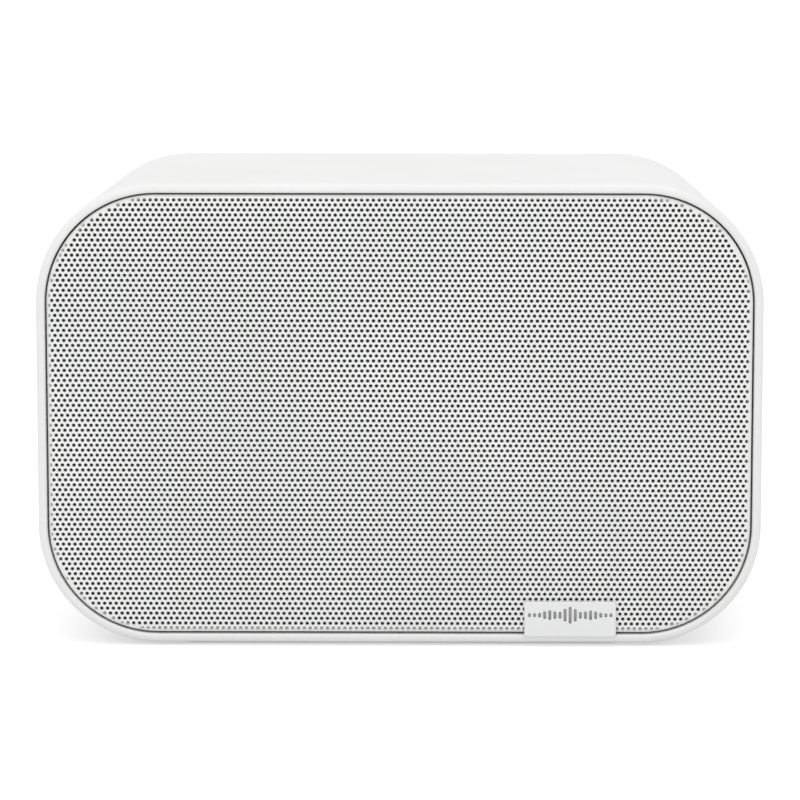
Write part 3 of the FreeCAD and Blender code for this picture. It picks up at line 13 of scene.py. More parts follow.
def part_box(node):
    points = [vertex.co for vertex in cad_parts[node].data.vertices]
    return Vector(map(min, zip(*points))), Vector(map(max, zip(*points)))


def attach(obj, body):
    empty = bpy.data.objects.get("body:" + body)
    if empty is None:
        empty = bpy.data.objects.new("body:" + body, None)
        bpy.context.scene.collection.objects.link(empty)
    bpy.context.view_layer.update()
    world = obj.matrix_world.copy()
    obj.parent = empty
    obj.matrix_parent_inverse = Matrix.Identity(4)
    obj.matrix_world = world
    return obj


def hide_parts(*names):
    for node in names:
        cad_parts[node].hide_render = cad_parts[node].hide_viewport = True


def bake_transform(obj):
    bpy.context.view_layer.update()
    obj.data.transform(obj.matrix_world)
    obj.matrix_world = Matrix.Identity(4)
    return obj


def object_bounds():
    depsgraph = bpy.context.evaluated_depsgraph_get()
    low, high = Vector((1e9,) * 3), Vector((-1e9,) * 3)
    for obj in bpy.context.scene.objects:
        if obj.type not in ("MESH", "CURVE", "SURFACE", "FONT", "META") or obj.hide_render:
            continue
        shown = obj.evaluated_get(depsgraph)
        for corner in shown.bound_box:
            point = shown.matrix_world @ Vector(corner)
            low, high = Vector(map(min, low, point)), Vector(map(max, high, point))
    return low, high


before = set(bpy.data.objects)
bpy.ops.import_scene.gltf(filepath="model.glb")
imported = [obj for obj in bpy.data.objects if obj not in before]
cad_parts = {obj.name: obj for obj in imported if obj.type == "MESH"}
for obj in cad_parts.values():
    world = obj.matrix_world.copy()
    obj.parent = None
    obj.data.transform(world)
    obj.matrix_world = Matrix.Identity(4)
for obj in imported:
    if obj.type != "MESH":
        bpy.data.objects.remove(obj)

cad_low, cad_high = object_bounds()
MM = 0.001


# ------------------------------------------------------------------ camera
# A long lens looks at the front from a metre and a half away, a little above
# the speaker's middle and a hair to its right.
camera_data = bpy.data.cameras.new("camera")
camera_data.sensor_width = 36
camera_data.lens = 202.2
camera = bpy.data.objects.new("camera", camera_data)
bpy.context.scene.collection.objects.link(camera)
bpy.context.scene.camera = camera
view_fall = math.radians(9.38)
view_turn = math.radians(0.6)
aim = Vector((0.2 * MM, cad_low.y + 1.2 * MM, 85.8 * MM))
forward = Vector((
    -math.sin(view_turn) * math.cos(view_fall),
    math.cos(view_turn) * math.cos(view_fall),
    -math.sin(view_fall),
))
camera_distance = 1.5325
camera.location = aim - forward * camera_distance
camera.rotation_euler = (math.radians(90) - view_fall, 0, view_turn)


# ------------------------------------------------------------------ casing
# One injection-moulded sleeve of white ABS with a fine spark-eroded texture. It comes out
# of the mould matt.
def wire(tree, start, end):
    tree.links.new(start, end)


def add_node(tree, kind, **settings):
    """A shader node; settings are its own properties."""
    node = tree.nodes.new("ShaderNode" + kind)
    for name, value in settings.items():
        setattr(node, name, value)
    return node


def calculate(tree, operation, first, second=None):
    """A Math node over numbers or sockets; gives its output socket."""
    node = add_node(tree, "Math", operation=operation)
    for place, value in enumerate((first, second)):
        if value is None:
            continue
        if isinstance(value, (int, float)):
            node.inputs[place].default_value = value
        else:
            wire(tree, value, node.inputs[place])
    return node.outputs[0]


def new_group(name, inputs, outputs):
    """An empty node group. Inputs are (name, kind, default), outputs are (name, kind)."""
    tree = bpy.data.node_groups.new(name, "ShaderNodeTree")
    for title, kind, default in inputs:
        socket = tree.interface.new_socket(title, in_out="INPUT", socket_type="NodeSocket" + kind)
        socket.default_value = default
    for title, kind in outputs:
        tree.interface.new_socket(title, in_out="OUTPUT", socket_type="NodeSocket" + kind)
    return tree, tree.nodes.new("NodeGroupInput").outputs, tree.nodes.new("NodeGroupOutput").inputs


def noise(tree, place, scale, detail=2.0, roughness=0.5):
    """A noise texture; place and scale are sockets or, for scale, a number."""
    node = add_node(tree, "TexNoise")
    wire(tree, place, node.inputs["Vector"])
    if isinstance(scale, (int, float)):
        node.inputs["Scale"].default_value = scale
    else:
        wire(tree, scale, node.inputs["Scale"])
    node.inputs["Detail"].default_value = detail
    node.inputs["Roughness"].default_value = roughness
    return node.outputs["Fac"]


def blend_colours(tree, share, first, second):
    node = add_node(tree, "Mix", data_type="RGBA")
    for value, socket in ((share, node.inputs[0]), (first, node.inputs[6]), (second, node.inputs[7])):
        if isinstance(value, tuple):
            socket.default_value = value
        else:
            wire(tree, value, socket)
    return node.outputs[2]


def stretch(tree, value, low, high):
    """Maps low..high to 0..1 and clamps it."""
    node = add_node(tree, "MapRange")
    wire(tree, value, node.inputs["Value"])
    node.inputs["From Min"].default_value = low
    node.inputs["From Max"].default_value = high
    return node.outputs["Result"]


def make_skin_group():
    """Skin of a moulded, painted or cast face: large faint patches of a second colour, and a fine
    grain that gives the height and spreads the roughness about its middle."""
    tree, given, result = new_group(
        "skin",
        [
            ("Colour", "Color", (0.8, 0.8, 0.8, 1)), ("Patch Colour", "Color", (0.7, 0.7, 0.7, 1)),
            ("Patch Scale", "Float", 30), ("Grain Scale", "Float", 2000),
            ("Roughness", "Float", 0.5), ("Spread", "Float", 0.1),
        ],
        [("Colour", "Color"), ("Roughness", "Float"), ("Height", "Float")],
    )
    place = add_node(tree, "TexCoord").outputs["Object"]
    patches = stretch(tree, noise(tree, place, given["Patch Scale"], 3), 0.35, 0.7)
    grain = noise(tree, place, given["Grain Scale"], 2, 0.6)
    wire(tree, blend_colours(tree, patches, given["Colour"], given["Patch Colour"]), result["Colour"])
    swing = calculate(tree, "MULTIPLY", calculate(tree, "SUBTRACT", grain, 0.5), given["Spread"])
    wire(tree, calculate(tree, "ADD", given["Roughness"], swing), result["Roughness"])
    wire(tree, grain, result["Height"])
    return tree


def new_material(name, **sockets):
    """A material whose shader sockets, spelt with underscores, hold constant values."""
    material = bpy.data.materials.new(name)
    material.use_nodes = True
    shader = material.node_tree.nodes["Principled BSDF"]
    for socket, value in sockets.items():
        shader.inputs[socket.replace("_", " ")].default_value = value
    return material, material.node_tree, shader


def place_group(tree, group, **values):
    """A node group in a material, with its own values spelt with underscores."""
    node = add_node(tree, "Group", node_tree=group)
    for socket, value in values.items():
        node.inputs[socket.replace("_", " ")].default_value = value
    return node.outputs


def raise_bumps(tree, shader, height, depth, strength=1.0):
    """Joins a height from 0 to 1 to the shader's normal; depth is in metres."""
    bump = add_node(tree, "Bump")
    bump.inputs["Distance"].default_value = depth
    bump.inputs["Strength"].default_value = strength
    wire(tree, height, bump.inputs["Height"])
    wire(tree, bump.outputs["Normal"], shader.inputs["Normal"])
    return bump


skin_group = make_skin_group()


def skinned(name, colour, patch, roughness, spread, patch_scale, grain_scale, depth, **sockets):
    """A material whose whole look is the skin group."""
    material, tree, shader = new_material(name, **sockets)
    skin = place_group(
        tree, skin_group, Colour=(*colour, 1), Patch_Colour=(*patch, 1), Patch_Scale=patch_scale,
        Grain_Scale=grain_scale, Roughness=roughness, Spread=spread,
    )
    wire(tree, skin["Colour"], shader.inputs["Base Color"])
    wire(tree, skin["Roughness"], shader.inputs["Roughness"])
    raise_bumps(tree, shader, skin["Height"], depth)
    return material


def dress(material, *names):
    """Gives CAD nodes a material."""
    for name in names:
        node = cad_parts[name]
        node.data.materials.clear()
        node.data.materials.append(material)


white_moulding = skinned(
    "white_moulding", (0.77, 0.77, 0.767), (0.75, 0.75, 0.745), 0.5, 0.12, 22, 1900, 0.02 * MM,
    Specular_IOR_Level=0.35,
)
dress(white_moulding, "cabinet_shell")


# ------------------------------------------------------------------ grille
# Cold-rolled steel sheet punched with staggered round holes, pressed into a shallow pan so that
# the pattern wraps its rolled edge, then powder-coated white. It is glued to a ring behind it.
sheet_low, sheet_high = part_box("grille_sheet")
HOLE_PITCH = 1.991 * MM
ROW_PITCH = HOLE_PITCH * math.sqrt(3) / 2
HOLE_RADIUS = 0.63 * MM
FIRST_ROW = sheet_high.z - 1.65 * MM
COLUMN_SHIFT = 0.13 * MM
SHEET = 0.8 * MM
ROLL = 1.1 * MM
NEUTRAL = 0.9 * MM
EDGE_KEPT = 0.42 * MM
flat_half = np.array([(sheet_high.x - sheet_low.x) / 2, (sheet_high.z - sheet_low.z) / 2]) - ROLL
flat_corner = 37.2 * MM - ROLL
flat_middle = (sheet_low.z + sheet_high.z) / 2
roll_length = NEUTRAL * math.pi / 2
flange_length = sheet_high.y - sheet_low.y - ROLL


def outline_distance(x, z):
    """Distance from the flat face's outline, a rectangle with circular corners, positive outside
    it, and the outward direction: the offset from the nearest corner's centre, or a straight side."""
    side = np.stack([x, z - flat_middle], -1)
    past = np.abs(side) - (flat_half - flat_corner)
    out = np.maximum(past, 0)
    reach = np.hypot(out[..., 0], out[..., 1])
    distance = reach + np.minimum(past.max(-1), 0) - flat_corner
    direction = np.sign(side) * out / np.maximum(reach, 1e-9)[..., None]
    return distance, direction


def pressed(x, z, layer):
    """Place in space of a point of the flat sheet. Inside the outline it stays, at its layer's depth.
    Past it, it turns by its distance over the neutral radius, round an arc of the roll's radius less
    the layer's depth, up to a right angle, and then runs straight back."""
    distance, direction = outline_distance(x, z)
    past = np.maximum(distance, 0)
    turn = np.minimum(past / NEUTRAL, math.pi / 2)
    arc = ROLL - layer
    moved = (arc * np.sin(turn) - past)[..., None] * direction
    depth = sheet_low.y + ROLL - arc * np.cos(turn) + np.maximum(past - roll_length, 0)
    return np.stack([x + moved[..., 0], depth, z + moved[..., 1]], -1)


def fill_mesh(name, points, faces):
    """A mesh from an array of points and arrays of faces, each array with one face a row."""
    mesh = bpy.data.meshes.new(name)
    mesh.vertices.add(len(points))
    mesh.vertices.foreach_set("co", np.asarray(points, np.float32).ravel())
    corners = np.concatenate([np.asarray(f, np.int32).ravel() for f in faces])
    sizes = np.concatenate([np.full(len(f), f.shape[1], np.int32) for f in faces])
    mesh.loops.add(len(corners))
    mesh.loops.foreach_set("vertex_index", corners)
    mesh.polygons.add(len(sizes))
    mesh.polygons.foreach_set("loop_start", np.concatenate([[0], np.cumsum(sizes)[:-1]]).astype(np.int32))
    mesh.update(calc_edges=True)
    mesh.validate()
    return mesh


def put(name, mesh, material, slot, body, *stands_for, smooth=40):
    """Links a mesh as a piece that rides on a body and stands for CAD nodes."""
    if smooth:
        mesh.shade_smooth()
        mesh.set_sharp_from_angle(angle=math.radians(smooth))
    mesh.materials.append(material)
    piece = bpy.data.objects.new(name, mesh)
    bpy.context.scene.collection.objects.link(piece)
    if body:
        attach(piece, body)
    if stands_for:
        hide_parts(*stands_for)
    return piece


# The lattice is numbered by row, counted down from the top, and by hole along the row. In steps of
# half a pitch and a third of a row, every corner of a hole's hexagonal cell has whole coordinates.
rows, columns = np.meshgrid(np.arange(-2, 90), np.arange(-62, 63), indexing="ij")
hole_x = COLUMN_SHIFT + HOLE_PITCH * (columns + 0.5 * (rows % 2 == 0))
hole_z = FIRST_ROW - ROW_PITCH * rows
punched = outline_distance(hole_x, hole_z)[0] <= EDGE_KEPT
CELL_CORNERS = np.array([(1, 1), (0, 2), (-1, 1), (-1, -1), (0, -2), (1, -1)])
cell_middle = np.stack([2 * columns + (rows % 2 == 0), -3 * rows], -1)
cell_unit = np.array([HOLE_PITCH / 2, ROW_PITCH / 3])
lattice_origin = np.array([COLUMN_SHIFT, FIRST_ROW])


def punched_field(name, chosen):
    """The sheet in the cells of the chosen holes: each cell is a hexagon round a twelve-sided hole,
    front and back, with the hole's wall between them."""
    middles = cell_middle[chosen]
    keys, owner = np.unique((middles[:, None] + CELL_CORNERS).reshape(-1, 2), axis=0, return_inverse=True)
    outer = owner.reshape(-1, 6)
    turn = np.radians(30 + 30 * np.arange(12))
    circle = HOLE_RADIUS * np.stack([np.cos(turn), np.sin(turn)], -1)
    holes = (lattice_origin + middles * cell_unit)[:, None] + circle
    flat = np.concatenate([lattice_origin + keys * cell_unit, holes.reshape(-1, 2)])
    rim = len(keys) + np.arange(12 * len(middles)).reshape(-1, 12)
    next_outer = np.roll(outer, -1, 1)
    even, odd, next_even = rim[:, 0::2], rim[:, 1::2], np.roll(rim, -1, 1)[:, 1::2]
    front = np.concatenate([
        np.stack([even, outer, odd], -1).reshape(-1, 3),
        np.stack([outer, next_outer, odd], -1).reshape(-1, 3),
        np.stack([next_outer, next_even, odd], -1).reshape(-1, 3),
    ])
    behind = len(flat)
    following = np.roll(rim, -1, 1)
    walls = np.stack([rim, following, following + behind, rim + behind], -1).reshape(-1, 4)
    points = np.concatenate([pressed(flat[:, 0], flat[:, 1], depth) for depth in (0, SHEET)])
    mesh = fill_mesh(name, points, [front, front[:, ::-1] + behind, walls])
    return put(name, mesh, grille_paint, "grille_paint", "cabinet", "grille_sheet")


def ring_points(distance, step):
    """Points round the flat face's outline moved outwards: a quarter circle at each corner, and the
    straight sides divided evenly, anticlockwise."""
    inner = flat_half - flat_corner
    arc = np.radians(np.linspace(0, 90, int(flat_corner * math.pi / 2 / step) + 1))
    pieces = []
    for quarter, (side_x, side_z) in enumerate(((1, 1), (-1, 1), (-1, -1), (1, -1))):
        turn = arc + quarter * math.pi / 2
        middle = inner * (side_x, side_z)
        pieces.append(middle + (flat_corner + distance) * np.stack([np.cos(turn), np.sin(turn)], -1))
        run = 2 * inner[quarter % 2]
        share = np.linspace(0, 1, int(run / step) + 1)[1:-1, None]
        following = middle * ((-1, 1) if quarter % 2 == 0 else (1, -1))
        outward = (flat_corner + distance) * np.array([np.cos(turn[-1]), np.sin(turn[-1])])
        pieces.append(middle + outward + share * (following - middle))
    return np.concatenate(pieces) + (0, flat_middle)


def in_a_cell(points):
    """True where the lattice point nearest to a point is a punched hole."""
    row_guess = np.round((FIRST_ROW - points[:, 1]) / ROW_PITCH).astype(int)
    best = np.full(len(points), np.inf)
    inside = np.zeros(len(points), bool)
    for row in (row_guess - 1, row_guess, row_guess + 1):
        shift = COLUMN_SHIFT + 0.5 * HOLE_PITCH * (row % 2 == 0)
        column = np.round((points[:, 0] - shift) / HOLE_PITCH).astype(int)
        across = points[:, 0] - shift - column * HOLE_PITCH
        away = np.hypot(across, FIRST_ROW - row * ROW_PITCH - points[:, 1])
        row_place, column_place = row - rows[0, 0], column - columns[0, 0]
        real = (row_place >= 0) & (row_place < len(rows))
        real &= (column_place >= 0) & (column_place < rows.shape[1])
        hit = np.zeros(len(points), bool)
        hit[real] = punched[row_place[real], column_place[real]]
        inside = np.where(away < best, hit, inside)
        best = np.minimum(away, best)
    return inside


def unpunched_edge(name):
    """The plain border: everything between the outermost cells' stepped outline and the end of the
    flange, triangulated flat over rings of points and then pressed into shape."""
    middles = cell_middle[punched]
    keys, owner = np.unique((middles[:, None] + CELL_CORNERS).reshape(-1, 2), axis=0, return_inverse=True)
    outer = owner.reshape(-1, 6)
    edges = np.stack([outer, np.roll(outer, -1, 1)], -1).reshape(-1, 2)
    _, first, times = np.unique(np.sort(edges, 1), axis=0, return_index=True, return_counts=True)
    border = edges[first[times == 1]]
    used, border = np.unique(border, return_inverse=True)
    stepped = lattice_origin + keys[used] * cell_unit
    border = border.reshape(-1, 2)
    bends = [-0.2 * MM, *(roll_length * np.linspace(0, 1, 8)), roll_length + 0.4 * MM]
    rings = np.concatenate([ring_points(bend, 1.2 * MM) for bend in bends])
    rings = rings[~in_a_cell(rings)]
    end = ring_points(roll_length + flange_length, 1.2 * MM)
    flat = np.concatenate([end, stepped, rings])
    count = len(end)
    around = np.arange(count)
    fixed = np.concatenate([np.stack([around, np.roll(around, -1)], -1), border + count])
    made, _, faces, *_ = delaunay_2d_cdt([Vector(p) for p in flat], fixed.tolist(), [], 0, 1e-9)
    made = np.array([tuple(p) for p in made])
    faces = np.array(faces)
    faces = faces[~in_a_cell(made[faces].mean(1))]
    behind = len(made)
    ends = np.stack([around, around + behind, np.roll(around, -1) + behind, np.roll(around, -1)], -1)
    points = np.concatenate([pressed(made[:, 0], made[:, 1], depth) for depth in (0, SHEET)])
    mesh = fill_mesh(name, points, [faces, faces[:, ::-1] + behind, ends])
    return put(name, mesh, grille_paint, "grille_paint", "cabinet", "grille_sheet")


grille_paint = skinned(
    "grille_paint", (0.775, 0.775, 0.772), (0.755, 0.755, 0.751), 0.42, 0.15, 26, 3200, 0.012 * MM,
    Specular_IOR_Level=0.45,
)
FIELDS = 4
strip = np.clip(((hole_x / flat_half[0] + 1) / 2 * FIELDS).astype(int), 0, FIELDS - 1)
for number in range(FIELDS):
    punched_field(f"grille_field_{number + 1}", punched & (strip == number))
unpunched_edge("grille_edge")


# ------------------------------------------------------------------ ring and cloth behind the grille
# The ring is moulded plastic pushed into rubber sleeves in the baffle. Its mid-grey is painted shade: it
# stands for the ring lying in shadow where it shows through the outermost holes.
# The cloth is a black open polyester weave, cut to the ring's inside and glued to the sheet's back.
# Mid-grey colour: painted shade of the ring seen through the outermost holes.
ring_painted_shade = skinned(
    "ring_painted_shade", (0.40, 0.40, 0.398), (0.37, 0.37, 0.368), 0.55, 0.1, 30, 1500, 0.02 * MM
)
dress(ring_painted_shade, "grille_frame")


def make_weave_group():
    """Plain weave of threads along X and Z: in each square of a chequer one thread passes over the
    other, and its height is the sine across it. A slow noise makes some threads thicker. Where the
    height is low, between the threads, the colour goes to the darker gap colour: painted shade."""
    tree, given, result = new_group(
        "weave",
        [
            ("Colour", "Color", (0.02, 0.02, 0.02, 1)),
            ("Gap Colour", "Color", (0, 0, 0, 1)),
            ("Threads", "Float", 2000),
        ],
        [("Colour", "Color"), ("Height", "Float")],
    )
    place = add_node(tree, "TexCoord").outputs["Object"]
    split = add_node(tree, "SeparateXYZ")
    wire(tree, place, split.inputs[0])
    across = calculate(tree, "MULTIPLY", split.outputs["X"], given["Threads"])
    along = calculate(tree, "MULTIPLY", split.outputs["Z"], given["Threads"])
    warp = calculate(tree, "ABSOLUTE", calculate(tree, "SINE", calculate(tree, "MULTIPLY", across, math.pi)))
    weft = calculate(tree, "ABSOLUTE", calculate(tree, "SINE", calculate(tree, "MULTIPLY", along, math.pi)))
    squares = calculate(tree, "ADD", calculate(tree, "FLOOR", across), calculate(tree, "FLOOR", along))
    over = calculate(tree, "PINGPONG", squares, 1.0)
    under = calculate(tree, "SUBTRACT", 1.0, over)
    height = calculate(
        tree, "ADD", calculate(tree, "MULTIPLY", warp, over), calculate(tree, "MULTIPLY", weft, under)
    )
    slub = noise(tree, place, 180, 2)
    height = calculate(tree, "MULTIPLY", height, calculate(tree, "ADD", slub, 0.5))
    # Low height, between the threads, takes the darker gap colour: painted shade.
    unshaded_share = stretch(tree, height, 0.15, 0.8)
    wire(tree, blend_colours(tree, unshaded_share, given["Gap Colour"], given["Colour"]), result["Colour"])
    wire(tree, height, result["Height"])
    return tree


weave_group = make_weave_group()


def woven(name, colour, gap, threads, depth, **sockets):
    """A cloth material whose whole look is the weave group; its gap colour is painted shade between the
    threads.
    """
    material, tree, shader = new_material(name, **sockets)
    cloth = place_group(tree, weave_group, Colour=(*colour, 1), Gap_Colour=(*gap, 1), Threads=threads)
    wire(tree, cloth["Colour"], shader.inputs["Base Color"])
    raise_bumps(tree, shader, cloth["Height"], depth)
    return material


# Its darker second colour is painted shade between the threads.
grille_cloth = woven(
    "grille_cloth", (0.055, 0.055, 0.056), (0.02, 0.02, 0.02), 1600, 0.1 * MM,
    Roughness=0.9, Specular_IOR_Level=0.2,
)


def grid_faces(across, along, closed_across=False, closed_along=False):
    """Quads of a grid of points stored row by row, with across points in a row and along rows."""
    i = np.arange(across if closed_across else across - 1)
    j = np.arange(along if closed_along else along - 1)
    i, j = np.meshgrid(i, j)
    here, right = j * across + i, j * across + (i + 1) % across
    below = ((j + 1) % along) * across
    return np.stack([here, right, below + (i + 1) % across, below + i], -1).reshape(-1, 4)


def stretched_cloth():
    """A flat cut of cloth. Its half width at a height is the rectangle's, less what the corner's
    circle takes off: the radius minus the root of its square less the height past its centre."""
    low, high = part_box("acoustic_cloth")
    half_wide, half_high = (high.x - low.x) / 2, (high.z - low.z) / 2
    corner = 35.2 * MM
    rise = np.sin(np.linspace(-math.pi / 2, math.pi / 2, 81))
    past = np.maximum(np.abs(rise) * half_high - (half_high - corner), 0)
    half_row = half_wide - corner + np.sqrt(np.maximum(corner**2 - past**2, 0))
    share = np.linspace(-1, 1, 121)
    x = share[None] * half_row[:, None]
    z = (low.z + high.z) / 2 + (half_high * rise)[:, None] + 0 * x
    y = np.full_like(x, low.y + 0.05 * MM)
    mesh = fill_mesh("acoustic_cloth_weave", np.stack([x, y, z], -1).reshape(-1, 3), [grid_faces(121, 81)])
    cloth = put("acoustic_cloth_weave", mesh, grille_cloth, "grille_cloth", "cabinet", "acoustic_cloth")
    thickness = cloth.modifiers.new("thickness", "SOLIDIFY")
    thickness.thickness = 0.3 * MM
    thickness.offset = -1


stretched_cloth()
soft_rubber = skinned(
    "soft_rubber", (0.05, 0.05, 0.052), (0.035, 0.035, 0.036), 0.62, 0.2, 60, 900, 0.03 * MM,
    Specular_IOR_Level=0.35,
)
dress(soft_rubber, "grille_grommets")


# ------------------------------------------------------------------ name tag
# A satin silver-white moulded tag, hooked over the grille's lower edge. Its printed mark is a row
# of rounded bars, tall in the middle and short at the ends, like a drawing of a sound.
tag_plastic = skinned(
    "tag_plastic", (0.76, 0.763, 0.767), (0.74, 0.743, 0.747), 0.34, 0.08, 40, 2600, 0.008 * MM,
    Specular_IOR_Level=0.5,
)
dress(tag_plastic, "name_tag")
tag_ink = skinned("tag_ink", (0.27, 0.27, 0.275), (0.24, 0.24, 0.245), 0.5, 0.1, 200, 4000, 0.004 * MM)


def capsule_outline(half_wide, half_tall, steps=8):
    """Outline of a standing bar: two half circles of its half width joined by straight sides."""
    turn = np.linspace(0, math.pi, steps + 1)
    arc = half_wide * np.stack([np.cos(turn), np.sin(turn)], -1)
    straight = np.array([0, half_tall - half_wide])
    return np.concatenate([arc + straight, -arc - straight])


def flat_plates(outlines, face, thick):
    """Thin plates facing -Y: each outline is a fan-free polygon in front and behind, with a wall."""
    points, walls, caps, start = [], [], [], 0
    for outline in outlines:
        count = len(outline)
        for depth in (face, face + thick):
            points.append(np.insert(outline, 1, depth, axis=1))
        ring = start + np.arange(count)
        following = np.roll(ring, -1)
        walls.append(np.stack([following, ring, ring + count, following + count], -1))
        caps += [ring[None], ring[None, ::-1] + count]
        start += 2 * count
    return np.concatenate(points), [*caps, *walls]


def tag_mark():
    low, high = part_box("name_tag")
    middle = np.array([(low.x + high.x) / 2, high.z - 4.6 * MM])
    bars, reach = 17, 14.0 * MM
    share = np.linspace(-1, 1, bars)
    swell = 0.24 + 0.76 * np.cos(share * math.pi / 2) ** 2 * (0.62 + 0.38 * np.cos(share * 11))
    outlines = [
        middle + (place * reach, 0) + capsule_outline(0.52 * MM, 3.0 * MM * tall)
        for place, tall in zip(share, swell)
    ]
    points, faces = flat_plates(outlines, low.y - 0.02 * MM, 0.06 * MM)
    mesh = fill_mesh("tag_bars", points, faces)
    put("tag_bars", mesh, tag_ink, "tag_plastic", "cabinet", smooth=0)


tag_mark()


# ------------------------------------------------------------------ base pad
# One long moulded rubber foot, let into the underside and glued, with a matt gripping face.
foot_rubber = skinned(
    "foot_rubber", (0.66, 0.66, 0.655), (0.61, 0.61, 0.605), 0.8, 0.15, 50, 1200, 0.05 * MM,
    Specular_IOR_Level=0.25,
)
dress(foot_rubber, "base_pad")


# ------------------------------------------------------------------ baffle and its fixings
# Black ABS panel, screwed to a ledge in the casing over a ring of closed-cell foam. The screws are
# zinc-plated steel with pan heads.
black_moulding = skinned(
    "black_moulding", (0.018, 0.018, 0.019), (0.024, 0.024, 0.025), 0.5, 0.15, 25, 1500, 0.03 * MM
)
dress(black_moulding, "front_baffle")
grey_foam = skinned(
    "grey_foam", (0.09, 0.09, 0.095), (0.06, 0.06, 0.063), 0.9, 0.1, 400, 1400, 0.12 * MM,
    Specular_IOR_Level=0.15,
)
dress(grey_foam, "baffle_gasket", "rear_gasket")


def make_worn_metal_group():
    """Plated or rolled metal: streaks drawn out along Z by a stretched noise, and darker specks
    where the plating is thin."""
    tree, given, result = new_group(
        "worn_metal",
        [
            ("Colour", "Color", (0.6, 0.6, 0.6, 1)), ("Speck Colour", "Color", (0.3, 0.3, 0.3, 1)),
            ("Scale", "Float", 300), ("Roughness", "Float", 0.35), ("Spread", "Float", 0.2),
        ],
        [("Colour", "Color"), ("Roughness", "Float"), ("Height", "Float")],
    )
    place = add_node(tree, "TexCoord").outputs["Object"]
    drawn = add_node(tree, "Mapping")
    drawn.inputs["Scale"].default_value = (1, 1, 0.08)
    wire(tree, place, drawn.inputs["Vector"])
    streaks = noise(tree, drawn.outputs["Vector"], given["Scale"], 4, 0.6)
    specks = stretch(tree, noise(tree, place, given["Scale"], 5, 0.7), 0.56, 0.72)
    wire(tree, blend_colours(tree, specks, given["Colour"], given["Speck Colour"]), result["Colour"])
    swing = calculate(tree, "MULTIPLY", calculate(tree, "SUBTRACT", streaks, 0.5), given["Spread"])
    wire(tree, calculate(tree, "ADD", given["Roughness"], swing), result["Roughness"])
    wire(tree, streaks, result["Height"])
    return tree


worn_metal_group = make_worn_metal_group()


def metal(name, colour, specks, roughness, spread, scale, depth, **sockets):
    """A metal material whose whole look is the worn metal group."""
    material, tree, shader = new_material(name, Metallic=1.0, **sockets)
    worn = place_group(
        tree, worn_metal_group, Colour=(*colour, 1), Speck_Colour=(*specks, 1), Scale=scale,
        Roughness=roughness, Spread=spread,
    )
    wire(tree, worn["Colour"], shader.inputs["Base Color"])
    wire(tree, worn["Roughness"], shader.inputs["Roughness"])
    raise_bumps(tree, shader, worn["Height"], depth)
    return material


zinc_steel = metal("zinc_steel", (0.62, 0.63, 0.65), (0.50, 0.49, 0.46), 0.33, 0.2, 700, 0.01 * MM)
dress(zinc_steel, "baffle_screws", "rear_screws", "woofer_screws", "small_screws")


# ------------------------------------------------------------------ woofer
# A pressed steel basket painted black, a coated paper cone on a rubber half-roll and a cotton
# spider, a copper coil on an aluminium former, and a ferrite ring between steel plates.
black_steel = skinned(
    "black_steel", (0.02, 0.02, 0.021), (0.03, 0.03, 0.031), 0.38, 0.15, 60, 900, 0.02 * MM, Coat_Weight=0.15
)
dress(black_steel, "woofer_basket")
woofer_low, woofer_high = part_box("woofer_basket")
woofer_middle = Vector(((woofer_low.x + woofer_high.x) / 2, 0, (woofer_low.z + woofer_high.z) / 2))


def make_ring_group():
    """Rings about an axis along Y through a centre: a triangle wave of the distance from it, with a
    fibre noise laid over it. The distance itself is given too, in metres."""
    tree, given, result = new_group(
        "rings",
        [("Centre", "Vector", (0, 0, 0)), ("Pitch", "Float", 0.001), ("Fibres", "Float", 900)],
        [("Wave", "Float"), ("Fibre", "Float"), ("Distance", "Float")],
    )
    place = add_node(tree, "TexCoord").outputs["Object"]
    centred = add_node(tree, "VectorMath", operation="SUBTRACT")
    wire(tree, place, centred.inputs[0])
    wire(tree, given["Centre"], centred.inputs[1])
    flattened = add_node(tree, "VectorMath", operation="MULTIPLY")
    wire(tree, centred.outputs[0], flattened.inputs[0])
    flattened.inputs[1].default_value = (1, 0, 1)
    length = add_node(tree, "VectorMath", operation="LENGTH")
    wire(tree, flattened.outputs[0], length.inputs[0])
    away = length.outputs["Value"]
    wave = calculate(tree, "PINGPONG", calculate(tree, "DIVIDE", away, given["Pitch"]), 1.0)
    wire(tree, wave, result["Wave"])
    wire(tree, noise(tree, place, given["Fibres"], 5, 0.65), result["Fibre"])
    wire(tree, away, result["Distance"])
    return tree


ring_group = make_ring_group()


def ringed(name, colour, other, centre, pitch, fibres, wave_share, depth, **sockets):
    """A material of rings and fibres: the height is a share of the wave and the rest of the fibre,
    and the fibre mixes the two colours."""
    material, tree, shader = new_material(name, **sockets)
    rings = place_group(tree, ring_group, Centre=tuple(centre), Pitch=pitch, Fibres=fibres)
    mixed = blend_colours(tree, stretch(tree, rings["Fibre"], 0.35, 0.65), (*colour, 1), (*other, 1))
    wire(tree, mixed, shader.inputs["Base Color"])
    waves = calculate(tree, "MULTIPLY", rings["Wave"], wave_share)
    height = calculate(tree, "ADD", waves, calculate(tree, "MULTIPLY", rings["Fibre"], 1 - wave_share))
    raise_bumps(tree, shader, height, depth)
    return material


